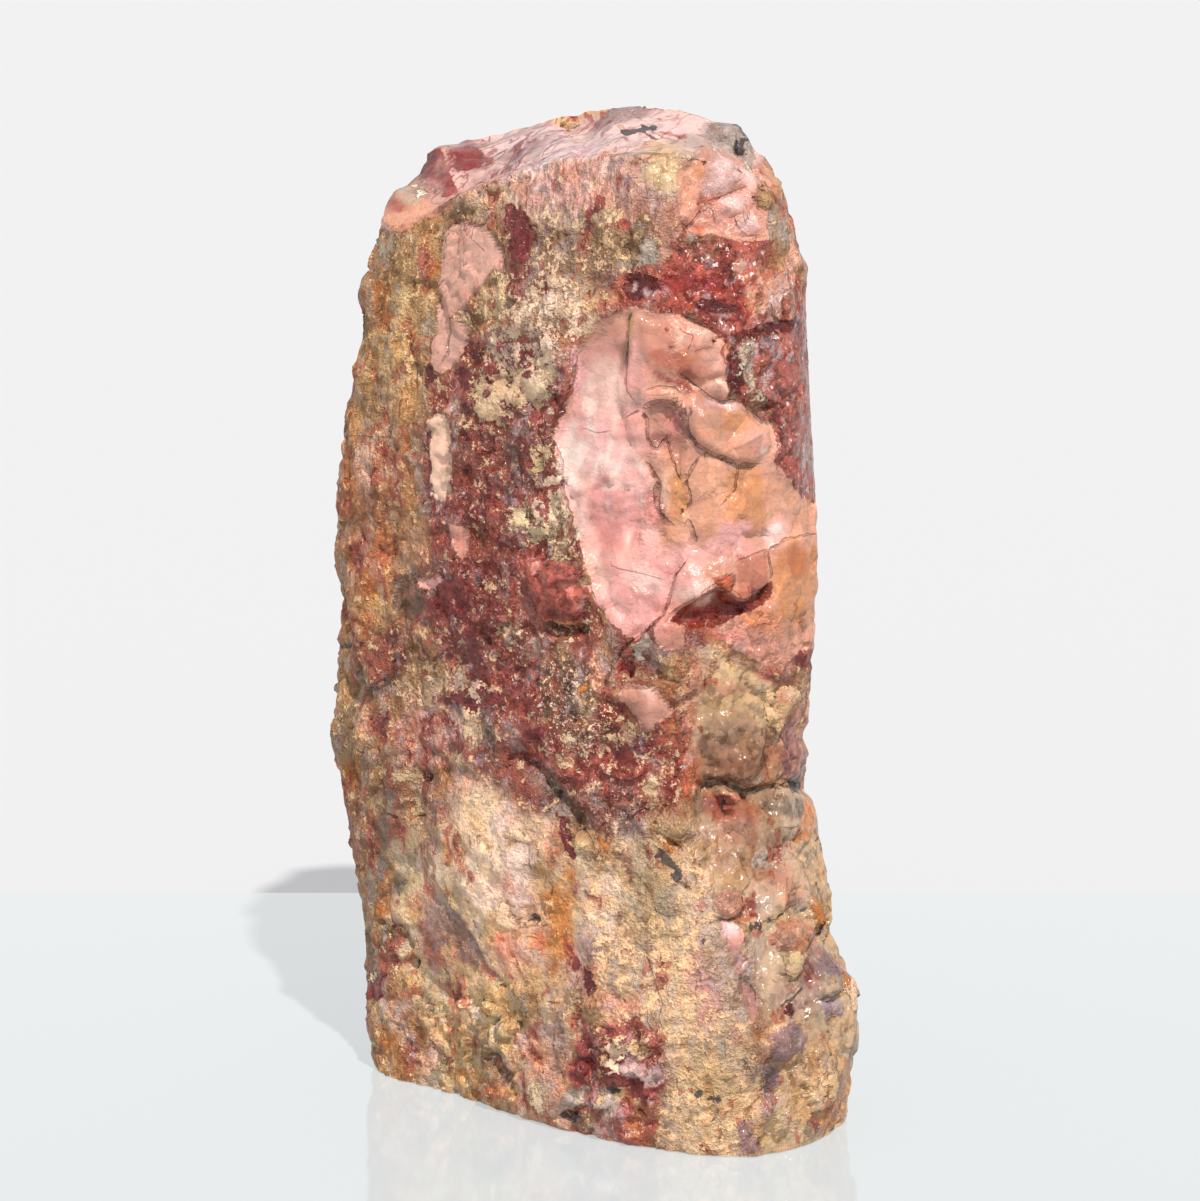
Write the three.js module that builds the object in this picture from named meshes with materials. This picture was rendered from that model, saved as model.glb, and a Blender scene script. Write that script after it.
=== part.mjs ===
// A rough pink opal that stands upright on a flat sawn base.
//
// Millimetres, +Z up. The broad weathered rind faces -Y, the fresh break is at the +X end, and the
// origin is the middle of the base's bounding box. The stone formed as one piece, so it is one solid.
//
// The body is a loft. Ten ribs run up the stone along its real edges and faces. Each row of the skin
// is a closed curve through the ribs at one level, and the broken top closes over the last row.

import * as THREE from 'three';

// ---------------------------------------------------------------- driving dimensions

const COLUMNS = 76; // points around each row of the skin
const ROWS = 50; // rows from the base up to the broken rim
const TOP_RINGS = 9; // rows from the rim to the middle of the top

const TOP_MIDDLE = [-2, -2, 191.3]; // where the rows of the top meet

// Heights of the stations at which every rib is given. The rim has its own height on each rib.
const STATION_HEIGHTS = [0, 14, 27, 37, 48, 64, 88, 108, 128, 148, 164];

// Each rib: [x, y] at every station height, then the rim as [x, y, z].
const RIBS = {
  leftCorner: {
    stations: [
      [-45, -22], [-48.6, -21.5], [-49, -21.2], [-49.4, -20.8], [-52.4, -20.2], [-56.8, -19.5],
      [-55.6, -19.5], [-56.8, -19.5], [-55.2, -19.5], [-49.8, -19.5], [-47.2, -19],
    ],
    rim: [-43.5, -17.5, 170.5],
  },
  rindLeft: {
    stations: [
      [-22, -24.7], [-22, -26.5], [-23, -27], [-23, -27], [-24, -27], [-25, -27],
      [-27, -27], [-27, -27], [-26, -26.5], [-24, -26], [-23, -25],
    ],
    rim: [-22, -21.5, 179.5],
  },
  rindMiddle: {
    stations: [
      [8, -29.7], [8, -31.5], [6, -32], [5, -31.5], [4, -31], [2, -30],
      [1, -29.5], [1, -29], [0, -29], [-1, -28.5], [0, -28],
    ],
    rim: [2, -22.5, 188.5],
  },
  frontCorner: {
    stations: [
      [44.5, -23.2], [44, -25], [42, -25.5], [38.5, -25.5], [35, -25.5], [31, -25],
      [29, -25], [30, -24.5], [30, -24], [30, -24], [29, -23.5],
    ],
    rim: [27, -20, 191.5],
  },
  breakMiddle: {
    stations: [
      [50.5, -11], [52.2, -10.5], [50.5, -10.5], [46, -11], [43, -11.5], [39.5, -12],
      [39, -12], [39.4, -12.5], [38.6, -12], [38.6, -12], [38, -12],
    ],
    rim: [34, -10, 188.5],
  },
  rightEdge: {
    stations: [
      [50.6, 3], [52.4, 3], [51.4, 3], [45, 3], [46, 3], [41.2, 3],
      [41.6, 3], [41.8, 3], [39.2, 3], [40.2, 3], [39.8, 2.5],
    ],
    rim: [35.6, 2, 180.5],
  },
  backRight: {
    stations: [
      [40, 18], [41, 18.5], [38, 18.5], [33, 18.5], [31, 19], [28, 20],
      [28, 20.5], [28, 21], [27, 21], [27, 20.5], [26, 19],
    ],
    rim: [21, 14.5, 188],
  },
  backMiddle: {
    stations: [
      [0, 23], [0, 24.5], [-1, 25], [-1, 25], [-2, 25], [-3, 26],
      [-3, 26.5], [-3, 26.5], [-4, 26], [-5, 24.5], [-5, 22.5],
    ],
    rim: [-4, 16.5, 194],
  },
  backLeft: {
    stations: [
      [-38, 14], [-42, 15], [-43, 15.5], [-44, 16], [-46, 16.5], [-48, 17],
      [-48.5, 17], [-48, 17], [-46, 16], [-44, 15], [-42.5, 13.5],
    ],
    rim: [-41, 9.5, 185.2],
  },
  leftEnd: {
    stations: [
      [-47, -5], [-50.5, -4], [-51.5, -3.5], [-52.5, -3], [-54.5, -2.5], [-57, -2.5],
      [-57, -2.5], [-57.5, -2.5], [-55.5, -3], [-52.5, -3.5], [-50, -4],
    ],
    rim: [-47, -3, 178.5],
  },
};

// Broad hollows and swellings of the skin. centre is a point on or near the skin, across and up are
// the reaches sideways and in height, and depth is how far the skin goes in there (a swelling is < 0).
const FORMS = {
  pinkBowl: { centre: [26, -26, 122], across: 15, up: 30, depth: 2.6 },
  pocketUnderLedge: { centre: [34, -20, 103], across: 9, up: 5, depth: 2.4 },
  ledgeOverPocket: { centre: [35, -19, 112], across: 10, up: 5, depth: -0.8 },
  redBandHollow: { centre: [33, -20, 164], across: 16, up: 9, depth: 2 },
  darkSpotHollow: { centre: [39, -8, 145], across: 6, up: 12, depth: 1.4 },
  salmonCrown: { centre: [28, -22, 181], across: 13, up: 8, depth: -1.6 },
  seamNotch: { centre: [40, -12, 65], across: 14, up: 4, depth: 2 },
  chalcedonyUpper: { centre: [37, -16, 84], across: 12, up: 13, depth: -0.8 },
  chalcedonyLower: { centre: [42, -14, 50], across: 13, up: 12, depth: -1.2 },
  rindGroove: { centre: [4, -30, 66], across: 9, up: 7, depth: 1.8 },
  creamSwelling: { centre: [-16, -27, 54], across: 16, up: 20, depth: -1.4 },
  scallop: { centre: [-2, -30, 107], across: 7, up: 7, depth: -1.6 },
  rindWaist: { centre: [-8, -29, 148], across: 13, up: 16, depth: 1 },
  footHollow: { centre: [12, -31, 12], across: 12, up: 12, depth: 1.2 },
  backHollow: { centre: [-12, 26, 118], across: 24, up: 36, depth: 3 },
  backStep: { centre: [16, 23, 60], across: 18, up: 16, depth: 2.4 },
  backCrest: { centre: [-28, 20, 60], across: 16, up: 30, depth: -1.4 },
};

// Uneven rock relief laid over everything: wavelength and height of each layer, in millimetres.
const RELIEF = [
  { wavelength: 26, height: 1.5, seed: 11 },
  { wavelength: 11, height: 0.8, seed: 23 },
  { wavelength: 5.5, height: 0.4, seed: 37 },
];
const RELIEF_FADE_AT_BASE = 3; // the sawn edge stays crisp: relief grows in over this height

const OPAL_COLOUR = 0xc98d78;
const OPAL_ROUGHNESS = 0.6;

// ---------------------------------------------------------------- small helpers

const smooth = (x) => x * x * (3 - 2 * x);

const lerp = (a, b, f) => a + (b - a) * f;

// A repeatable number from -1 to 1 for each corner of a lattice of cubes.
function latticeValue(ix, iy, iz, seed) {
  let h = Math.imul(ix, 374761393) ^ Math.imul(iy, 668265263);
  h ^= Math.imul(iz, 2147483647) ^ Math.imul(seed, 1274126177);
  h = Math.imul(h ^ (h >>> 13), 1274126177);
  h ^= h >>> 16;
  return ((h >>> 0) / 4294967295) * 2 - 1;
}

// Smooth uneven field from -1 to 1 that repeats for the same point and seed.
function valueNoise(point, wavelength, seed) {
  const scaled = point.clone().divideScalar(wavelength);
  const cell = scaled.clone().floor();
  const part = scaled.clone().sub(cell);
  const [fx, fy, fz] = [smooth(part.x), smooth(part.y), smooth(part.z)];
  const corner = (dx, dy, dz) => latticeValue(cell.x + dx, cell.y + dy, cell.z + dz, seed);
  const row = (dy, dz) => lerp(corner(0, dy, dz), corner(1, dy, dz), fx);
  const layer = (dz) => lerp(row(0, dz), row(1, dz), fy);
  return lerp(layer(0), layer(1), fz);
}

// ---------------------------------------------------------------- skin of the stone

// One smooth curve up the stone for each rib, through its stations and its rim.
function ribCurves() {
  return Object.values(RIBS).map(({ stations, rim }) => {
    const points = stations.map(([x, y], i) => new THREE.Vector3(x, y, STATION_HEIGHTS[i]));
    points.push(new THREE.Vector3(...rim));
    return new THREE.CatmullRomCurve3(points, false, 'centripetal');
  });
}

// Rows of points, from the base up to the rim.
function wallRows() {
  const curves = ribCurves();
  const rows = [];
  for (let j = 0; j <= ROWS; j++) {
    const ribPoints = curves.map((curve) => curve.getPointAt(j / ROWS));
    const section = new THREE.CatmullRomCurve3(ribPoints, true, 'centripetal');
    rows.push(section.getSpacedPoints(COLUMNS).slice(0, COLUMNS));
  }
  return rows;
}

// How far the skin goes inward at a point: the broad forms and the uneven relief together.
function inwardDepth(point) {
  let depth = 0;
  for (const { centre, across, up, depth: formDepth } of Object.values(FORMS)) {
    const sideways = Math.hypot(point.x - centre[0], point.y - centre[1]) / across;
    const reach = Math.hypot(sideways, (point.z - centre[2]) / up);
    if (reach < 1) depth += formDepth * smooth(1 - reach);
  }
  for (const { wavelength, height, seed } of RELIEF) {
    depth += height * valueNoise(point, wavelength, seed);
  }
  return depth;
}

// Moves a wall point in or out, square to the stone's long middle line.
function carveWall(point) {
  const middle = new THREE.Vector3(THREE.MathUtils.clamp(point.x, -28, 18), -2, point.z);
  const inward = middle.sub(point).normalize();
  const fade = smooth(Math.min(point.z / RELIEF_FADE_AT_BASE, 1));
  return point.clone().addScaledVector(inward, inwardDepth(point) * fade);
}

// Moves a point of the top up or down.
function carveTop(point) {
  return point.clone().setZ(point.z - 0.6 * inwardDepth(point));
}

// Rows that close the top: the rim drawn in towards the middle of the top.
function topRows(rim) {
  const middle = new THREE.Vector3(...TOP_MIDDLE);
  const rows = [];
  for (let i = 1; i < TOP_RINGS; i++) {
    rows.push(rim.map((point) => carveTop(point.clone().lerp(middle, i / TOP_RINGS))));
  }
  return rows;
}

// Joins the rows into one closed skin, with a fan on the sawn base and one at the top's middle.
function closedSkin(rows, lowest, highest) {
  const positions = rows.flat().flatMap((point) => point.toArray());
  const lowestIndex = rows.length * COLUMNS;
  const highestIndex = lowestIndex + 1;
  positions.push(...lowest.toArray(), ...highest.toArray());
  const index = [];
  const last = rows.length - 1;
  for (let k = 0; k < COLUMNS; k++) {
    const next = (k + 1) % COLUMNS;
    index.push(lowestIndex, next, k);
    index.push(highestIndex, last * COLUMNS + k, last * COLUMNS + next);
    for (let j = 0; j < last; j++) {
      const [a, b] = [j * COLUMNS + k, j * COLUMNS + next];
      const [c, d] = [b + COLUMNS, a + COLUMNS];
      index.push(a, b, c, a, c, d);
    }
  }
  const geometry = new THREE.BufferGeometry();
  geometry.setAttribute('position', new THREE.Float32BufferAttribute(positions, 3));
  geometry.setIndex(index);
  return geometry;
}

function stoneGeometry() {
  const wall = wallRows();
  const carved = wall.map((row) => row.map(carveWall));
  const rim = carved[ROWS];
  const lowest = new THREE.Vector3(0, -2, 0);
  const highest = carveTop(new THREE.Vector3(...TOP_MIDDLE));
  const geometry = closedSkin([...carved, ...topRows(rim)], lowest, highest);
  geometry.computeBoundingBox();
  const { min, max } = geometry.boundingBox;
  geometry.translate(-(min.x + max.x) / 2, -(min.y + max.y) / 2, -min.z);
  geometry.computeVertexNormals();
  return geometry;
}

// ---------------------------------------------------------------- the part

const opalFinish = new THREE.MeshStandardMaterial({
  color: OPAL_COLOUR,
  roughness: OPAL_ROUGHNESS,
  metalness: 0,
});

const opalStone = new THREE.Mesh(stoneGeometry(), opalFinish);
opalStone.name = 'opal_stone';

const roughPinkOpal = new THREE.Group();
roughPinkOpal.add(opalStone);

export default roughPinkOpal;
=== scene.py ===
# %% [markdown]
# # A rough pink opal, standing on its sawn base
#
# This lesson finishes one stone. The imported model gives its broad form, its size and its place.
# Here the form gets a fine skin, with breaks, cracks, pits and crust as real geometry, and one
# material in which every mineral of the stone has its own colour and gloss.

import math

import bpy
import numpy as np
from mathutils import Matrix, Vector
from mathutils.bvhtree import BVHTree


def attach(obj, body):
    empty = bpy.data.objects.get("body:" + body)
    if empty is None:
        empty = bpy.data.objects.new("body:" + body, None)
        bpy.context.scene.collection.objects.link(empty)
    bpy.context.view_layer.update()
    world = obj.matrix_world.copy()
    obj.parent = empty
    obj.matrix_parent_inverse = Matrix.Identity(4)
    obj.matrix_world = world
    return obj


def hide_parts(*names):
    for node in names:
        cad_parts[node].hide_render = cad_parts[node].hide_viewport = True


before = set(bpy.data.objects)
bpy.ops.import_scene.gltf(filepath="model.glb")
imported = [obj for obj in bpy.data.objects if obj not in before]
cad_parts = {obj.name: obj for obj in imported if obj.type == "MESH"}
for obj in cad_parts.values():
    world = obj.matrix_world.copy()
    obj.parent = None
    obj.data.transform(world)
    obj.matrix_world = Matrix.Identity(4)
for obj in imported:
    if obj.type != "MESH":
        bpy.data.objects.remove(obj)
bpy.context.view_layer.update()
MM = 0.001

# %% [markdown]
# ## The drawing sheet and the camera
#
# The marks on the stone's face are drawn one by one, so they need a sheet to be drawn on. The sheet is
# a square of fine squared paper, 5.25 squares to the millimetre, that hangs upright in front of the
# stone. Every point of the stone is projected onto it from one fixed eye point. The camera stands
# at that same eye point, because the face that carries the drawing is the face worth showing.

# %% The sheet and its eye point
SHEET_ACROSS = 1200  # squares across the sheet
SHEET_DOWN = 1201  # squares down the sheet
SQUARES_PER_MM = 5.25
EYE_AZIMUTH = math.radians(36.2)  # 0 looks along +Y
EYE_ELEVATION = math.radians(13.0)
EYE_DISTANCE = 950.0  # mm from the aim point
AIM_POINT = np.array([13.4, -20.2, 104.6])  # mm, the middle of the sheet


def direction_to(azimuth, elevation):
    """The direction from the stone to an eye or a lamp that stands at these angles."""
    level = math.cos(elevation)
    return np.array([math.sin(azimuth) * level, -math.cos(azimuth) * level, math.sin(elevation)])


BACKWARD = direction_to(EYE_AZIMUTH, EYE_ELEVATION)
SIDEWAYS = np.array([math.cos(EYE_AZIMUTH), math.sin(EYE_AZIMUTH), 0.0])
UPWARD = np.cross(BACKWARD, SIDEWAYS)
EYE_POINT = AIM_POINT + EYE_DISTANCE * BACKWARD
EYE_REACH = EYE_DISTANCE * SQUARES_PER_MM


def on_sheet(points):
    """Squares across and down the sheet, for points in millimetres."""
    offset = points - EYE_POINT
    depth = -(offset @ BACKWARD)
    across = SHEET_ACROSS / 2 + EYE_REACH * (offset @ SIDEWAYS) / depth
    down = SHEET_DOWN / 2 - EYE_REACH * (offset @ UPWARD) / depth
    return across, down


print("eye in mm:", np.round(EYE_POINT, 1))

# %% Camera
SENSOR = 36.0  # mm
NEAREST, FARTHEST = 0.05, 20.0  # m, between which the camera sees


def add_object(name, data):
    """A new object in the scene."""
    thing = bpy.data.objects.new(name, data)
    bpy.context.scene.collection.objects.link(thing)
    return thing


def look_along(thing, direction):
    """Turns a camera or a lamp along a direction."""
    thing.rotation_mode = "QUATERNION"
    thing.rotation_quaternion = Vector(direction).to_track_quat("-Z", "Y")


camera_data = bpy.data.cameras.new("camera")
camera_data.sensor_width = SENSOR
camera_data.lens = SENSOR * EYE_REACH / SHEET_DOWN
camera_data.clip_start = NEAREST
camera_data.clip_end = FARTHEST
camera = add_object("camera", camera_data)
camera.location = Vector(EYE_POINT * MM)
look_along(camera, -BACKWARD)
bpy.context.scene.camera = camera
print("lens in mm:", round(camera_data.lens, 1))

# %% [markdown]
# ## A fine skin over the imported form
#
# The imported solid has facets some 4 mm across. Rock needs points closer than 1 mm. A voxel remesh
# would space them evenly and round the sawn edge, and a subdivision would keep the facets' pattern.
# So the skin is laid as a net: columns run from the base up the wall, over the broken rim
# and in to one point on top, and rays find the imported form under each. The columns stand closer
# on the face that is drawn on. The net also gives a clean unwrapping for free.

# %% Read the imported form
cad_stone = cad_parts["opal_stone"]
cad_points = np.array([v.co for v in cad_stone.data.vertices]) / MM
cad_faces = [tuple(p.vertices) for p in cad_stone.data.polygons]
cad_tree = BVHTree.FromPolygons([Vector(p) for p in cad_points], cad_faces)
print("packed form:", len(cad_points), "points,", len(cad_faces), "faces")

# %% Net settings
FACE_COLUMNS = 208  # columns on the side that is drawn on
BACK_COLUMNS = 88  # columns on the far side
WALL_ROWS = 292
TOP_ROWS = 30
CORE_LEFT = np.array([-31.0, 1.0])  # the upright sheet in the stone's middle that rays aim at
CORE_RIGHT = np.array([20.0, 0.0])
POLE = np.array([-1.0, 1.0])  # where the columns meet on top
BEND_RADIUS = 26.0  # mm, of the oval that the columns walk round
PAST_LEFT = 0.22  # how far past straight left the face goes, as a share of the left bend
RIGHT_SHARE = 0.62  # the share of the right bend that the face takes
FOCUS_HEIGHT = 150.0  # rays go level below this height and fan upward above it
LEVEL_RAYS = 190
FAN_RAYS = 170
RAY_START = 160.0  # mm out from the core
LOWEST_RAY = 0.02  # mm above the base
COLUMNS = FACE_COLUMNS + BACK_COLUMNS


def smooth_step(value, low, high):
    """0 below low, 1 above high, and an even slope between."""
    t = np.clip((value - low) / (high - low), 0.0, 1.0)
    return t * t * (3 - 2 * t)


# %% Directions of the columns
def column_directions():
    """For each column: its aim on the core and its outward direction, both level.

    The columns walk round an oval about the core, anticlockwise from the left end's far side. The
    face's share of the oval runs from a little past its left edge to a little past its right edge.
    """
    core = CORE_RIGHT - CORE_LEFT
    flat = np.linalg.norm(core)
    bend = math.pi * BEND_RADIUS
    face_start = bend / 2 - PAST_LEFT * bend
    face_end = bend + flat + RIGHT_SHARE * bend
    face = np.linspace(face_start, face_end, FACE_COLUMNS, endpoint=False)
    back = np.linspace(face_end, 2 * (bend + flat) + face_start, BACK_COLUMNS, endpoint=False)
    walk = np.concatenate([face, back]) % (2 * (bend + flat))
    corners = np.cumsum([0, bend, flat, bend, flat])
    half_turns = np.interp(walk, corners, [0.5, 1.5, 1.5, 2.5, 2.5])
    shares = np.interp(walk, corners, [0, 0, 1, 1, 0])
    angles = half_turns * math.pi + math.atan2(core[1], core[0])
    return CORE_LEFT + core * shares[:, None], np.stack([np.cos(angles), np.sin(angles)], -1)


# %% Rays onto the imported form
def rays(aim, direction):
    """The rays of one column, each as a point on the core and a way out from it."""
    out = np.array([*direction, 0.0])
    for level in np.linspace(LOWEST_RAY, FOCUS_HEIGHT, LEVEL_RAYS):
        yield np.array([*aim, level]), out
    for share in np.linspace(0.0, 1.0, FAN_RAYS + 1)[1:]:
        rise = share * math.pi / 2
        focus = aim + (POLE - aim) * smooth_step(share, 0.0, 1.0)
        yield np.array([*focus, FOCUS_HEIGHT]), out * math.cos(rise) + np.array([0, 0, math.sin(rise)])


def profile(aim, direction):
    """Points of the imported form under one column, from the base's edge to the pole."""
    hits = [cad_tree.ray_cast(Vector(focus + ray * RAY_START), Vector(-ray))[0]
            for focus, ray in rays(aim, direction)]
    return np.array([hit for hit in hits if hit is not None])


def spread(points, count):
    """The same path with count points spaced evenly along it."""
    steps = np.linalg.norm(np.diff(points, axis=0), axis=1)
    walk = np.concatenate([[0], np.cumsum(steps)])
    target = np.linspace(0, walk[-1], count)
    return np.stack([np.interp(target, walk, points[:, i]) for i in range(3)], -1)


def lay_net():
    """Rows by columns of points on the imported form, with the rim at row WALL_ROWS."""
    aims, directions = column_directions()
    columns = []
    for aim, direction in zip(aims, directions):
        path = profile(aim, direction)
        outward = (path[:, :2] - aim) @ direction
        rim = int(np.argmax(outward + path[:, 2]))
        wall = spread(path[: rim + 1], WALL_ROWS + 1)
        top = spread(path[rim:], TOP_ROWS + 1)
        columns.append(np.vstack([wall, top[1:]]))
    net = np.array(columns).transpose(1, 0, 2)
    net[-1, :, :] = net[-1].mean(0)
    return net


net = lay_net()
print("net:", net.shape, "rim from", net[WALL_ROWS, :, 2].min(), "to", net[WALL_ROWS, :, 2].max())

# %% [markdown]
# ## Smoothing and measuring the net
#
# Weathering and a clean break both leave curves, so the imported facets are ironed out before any
# detail goes on. Each point moves to the mean of its neighbours, again and again. The sawn edge and
# the broken rim keep their places up the stone, so both stay crisp.

# %% Smooth the net
SMOOTH_PASSES = 20


def iron_around(block):
    return (np.roll(block, 1, 1) + 2 * block + np.roll(block, -1, 1)) / 4


def iron_upward(block):
    inner = (block[:-2] + 2 * block[1:-1] + block[2:]) / 4
    return np.concatenate([block[:1], inner, block[-1:]])


wall, crest = net[: WALL_ROWS + 1], net[WALL_ROWS:]
for _ in range(SMOOTH_PASSES):
    wall = iron_upward(iron_around(wall))
    crest = iron_upward(iron_around(crest))
wall[0, :, 2] = 0.0

# The sawn base closes the net below, as rings drawn in towards one middle point.
SAWN_SHARES = (0.0, 0.4, 0.75, 0.94, 0.985)
sawn_middle = wall[0].mean(0)
sawn = [sawn_middle + (wall[0] - sawn_middle) * share for share in SAWN_SHARES]
net = np.concatenate([sawn, wall, crest[1:]])
ROWS = len(net)


# %% Measure the net
def outward_normals(grid):
    """The outward direction at every point of the net."""
    around = np.roll(grid, -1, 1) - np.roll(grid, 1, 1)
    upward = np.gradient(grid, axis=0)
    normal = np.cross(around, upward)
    normal[0] = (0, 0, -1)
    normal[-1] = (0, 0, 1)
    return normal / np.maximum(np.linalg.norm(normal, axis=-1, keepdims=True), 1e-9)


def squareness(grid, normal):
    """How squarely each point faces the sheet's eye point, 1 head on and 0 edge on."""
    to_eye = EYE_POINT - grid
    to_eye /= np.linalg.norm(to_eye, axis=-1, keepdims=True)
    return (normal * to_eye).sum(-1)


SMOOTH_NET = net.copy()
SMOOTH_NORMAL = outward_normals(SMOOTH_NET)
FACING = squareness(SMOOTH_NET, SMOOTH_NORMAL)
ACROSS, DOWN = on_sheet(SMOOTH_NET)
DRAWN = smooth_step(FACING, -0.45, -0.05)  # 1 where the drawing counts, 0 on the far side
ON_FACE = DRAWN > 0.5
HEIGHT = SMOOTH_NET[..., 2]
BASE_FADE = smooth_step(HEIGHT, 0.0, 2.5)  # the sawn edge stays level
print("net size in mm:", np.round(net.reshape(-1, 3).max(0) - net.reshape(-1, 3).min(0), 1))

# %% [markdown]
# ## Chance that repeats
#
# Rock is uneven at every scale, and the unevenness must come out the same each time. A small
# arithmetic scramble turns any whole-number place into a number between 0 and 1. Blending those
# numbers gives soft lumps, and measuring the distance to scattered seeds gives the flat, leaning
# chips of broken chalcedony.

# %% Scrambled numbers and soft lumps
LATTICE_START = 100.5  # moves the stone away from the middle of the lattice of numbers


def scramble(ix, iy, iz, seed):
    """A repeatable number from 0 to 1 for each whole-number place."""
    mixed = (ix * 73856093) ^ (iy * 19349663) ^ (iz * 83492791) ^ (seed * 2654435761)
    mixed = mixed & 0xFFFFFFFF
    mixed = ((mixed ^ (mixed >> 15)) * 0x2C1B3C6D) & 0xFFFFFFFF
    mixed = ((mixed ^ (mixed >> 12)) * 0x297A2D39) & 0xFFFFFFFF
    return (mixed ^ (mixed >> 15)) / 0xFFFFFFFF


def lattice(points, size, stretch):
    """Each point's cell in a lattice of boxes of some mm, and its place inside the cell."""
    place = points / (size * np.array(stretch, float)) + LATTICE_START
    cell = np.floor(place).astype(np.int64)
    return cell, place - cell


def lumps(points, wavelength, seed, stretch=(1, 1, 1)):
    """Soft lumps from -1 to 1, about one wavelength (mm) apart."""
    cell, part = lattice(points, wavelength, stretch)
    part = part * part * (3 - 2 * part)
    total = 0.0
    for corner in np.ndindex(2, 2, 2):
        share = np.where(corner, part, 1 - part).prod(-1)
        total = total + share * scramble(*np.moveaxis(cell + corner, -1, 0), seed)
    return total * 2 - 1


def rough(points, wavelength, seed, layers=3, stretch=(1, 1, 1)):
    """Lumps on lumps: each layer is half as wide and half as high as the one before."""
    total = 0.0
    for layer in range(layers):
        total = total + lumps(points, wavelength / 2**layer, seed + layer, stretch) / 2**layer
    return total


# %% Broken chips
def chips(points, size, seed, stretch=(1, 1, 1)):
    """For each point: the lean of the flat chip it is on, its distance to the chip's edge in mm,
    and the chip's own number from 0 to 1."""
    cell, part = lattice(points, size, stretch)
    nearest = np.full(part.shape[:-1], 9.0)
    second = nearest.copy()
    lean = np.zeros_like(nearest)
    tone = np.zeros_like(nearest)
    for corner in np.ndindex(3, 3, 3):
        step = np.array(corner) - 1
        spot = np.moveaxis(cell + step, -1, 0)
        chance = np.stack([scramble(*spot, seed + number) for number in range(7)], -1)
        offset = part - step - chance[..., :3]
        reach = np.linalg.norm(offset, axis=-1)
        closer = reach < nearest
        second = np.where(closer, nearest, np.minimum(second, reach))
        nearest = np.where(closer, reach, nearest)
        tilt = (chance[..., 3:6] - 0.5) * 2
        lean = np.where(closer, (offset * tilt).sum(-1) + chance[..., 6] - 0.5, lean)
        tone = np.where(closer, chance[..., 6], tone)
    return lean, (second - nearest) * size / 2, tone


WANDER_SIZES = ((6.5, 1.0, 0), (3.0, 0.7, 5), (1.6, 0.5, 9))  # mm, share and step in seed


def wander(seed):
    """A wandering offset made of three sizes of lumps, for edges that mustn't look drawn."""
    return sum(share * lumps(SMOOTH_NET, size, seed + step) for size, share, step in WANDER_SIZES)


WARP = np.stack([wander(seed) for seed in (61, 62, 63)], -1)
print("chance ready, mean of 3 mm lumps:", round(float(lumps(SMOOTH_NET, 3.0, 1).mean()), 3))

# %% [markdown]
# ## Drawing on the sheet
#
# Every mark is an outline or a line of a few points, written as "across,down" pairs in the
# sheet's squares. Each mark has a name, because the same outline can raise the surface and colour
# it. Two measures are enough: how far inside an outline a point is, and how far beside a line, on
# which side. Both are in millimetres.

# %% Outlines and lines
REACH = 40.0  # squares beyond a mark's own box that it may still affect
FAR = -REACH / SQUARES_PER_MM


def points_of(text):
    return np.array([[float(number) for number in pair.split(",")] for pair in text.split()])


def near_box(corners, margin):
    """Which net points lie in the box of these sheet points."""
    low, high = corners.min(0) - margin, corners.max(0) + margin
    inside = (ACROSS > low[0]) & (ACROSS < high[0]) & (DOWN > low[1]) & (DOWN < high[1])
    return inside & (DRAWN > 0)


def to_segment(x, y, start, end):
    """Squared distance to a straight piece, the signed side and the share along it."""
    run = end - start
    share = ((x - start[0]) * run[0] + (y - start[1]) * run[1]) / max(run @ run, 1e-9)
    share = np.clip(share, 0, 1)
    off_x, off_y = x - start[0] - share * run[0], y - start[1] - share * run[1]
    return off_x**2 + off_y**2, np.sign(run[0] * off_y - run[1] * off_x), share


def inside(text, ragged=0.0):
    """Distance in mm inside an outline, negative outside; ragged shifts its edge at random."""
    corners = points_of(text)
    near = near_box(corners, REACH)
    x = ACROSS[near] + ragged * SQUARES_PER_MM * WARP[near][:, 0]
    y = DOWN[near] + ragged * SQUARES_PER_MM * WARP[near][:, 1]
    gap = np.full(x.shape, REACH**2)
    within = np.zeros(x.shape, bool)
    for start, end in zip(corners, np.roll(corners, -1, 0)):
        gap = np.minimum(gap, to_segment(x, y, start, end)[0])
        if start[1] != end[1]:
            spans = (start[1] > y) != (end[1] > y)
            crossing = start[0] + (y - start[1]) * (end[0] - start[0]) / (end[1] - start[1])
            within ^= spans & (x < crossing)
    field = np.full(ACROSS.shape, FAR)
    field[near] = np.where(within, 1, -1) * np.sqrt(gap) / SQUARES_PER_MM
    return field


def beside(text):
    """Distance in mm from a line, positive on its right as it is walked, and the share along it."""
    corners = points_of(text)
    near = near_box(corners, REACH)
    x, y = ACROSS[near], DOWN[near]
    gap = np.full(x.shape, REACH**2)
    side, along = np.ones(x.shape), np.zeros(x.shape)
    steps = np.linalg.norm(np.diff(corners, axis=0), axis=1)
    for index, (start, end) in enumerate(zip(corners[:-1], corners[1:])):
        squared, here, share = to_segment(x, y, start, end)
        closer = squared < gap
        gap = np.where(closer, squared, gap)
        side = np.where(closer & (here != 0), here, side)
        along = np.where(closer, (steps[:index].sum() + share * steps[index]) / steps.sum(), along)
    distance, share_along = np.full(ACROSS.shape, -FAR), np.zeros(ACROSS.shape)
    distance[near] = side * np.sqrt(gap) / SQUARES_PER_MM
    share_along[near] = along
    return distance, share_along


def taper(along, ends):
    """1 along the middle of a line, fading to 0 over a share of it at each end."""
    return smooth_step(along, 0, ends) * (1 - smooth_step(along, 1 - ends, 1))
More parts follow.
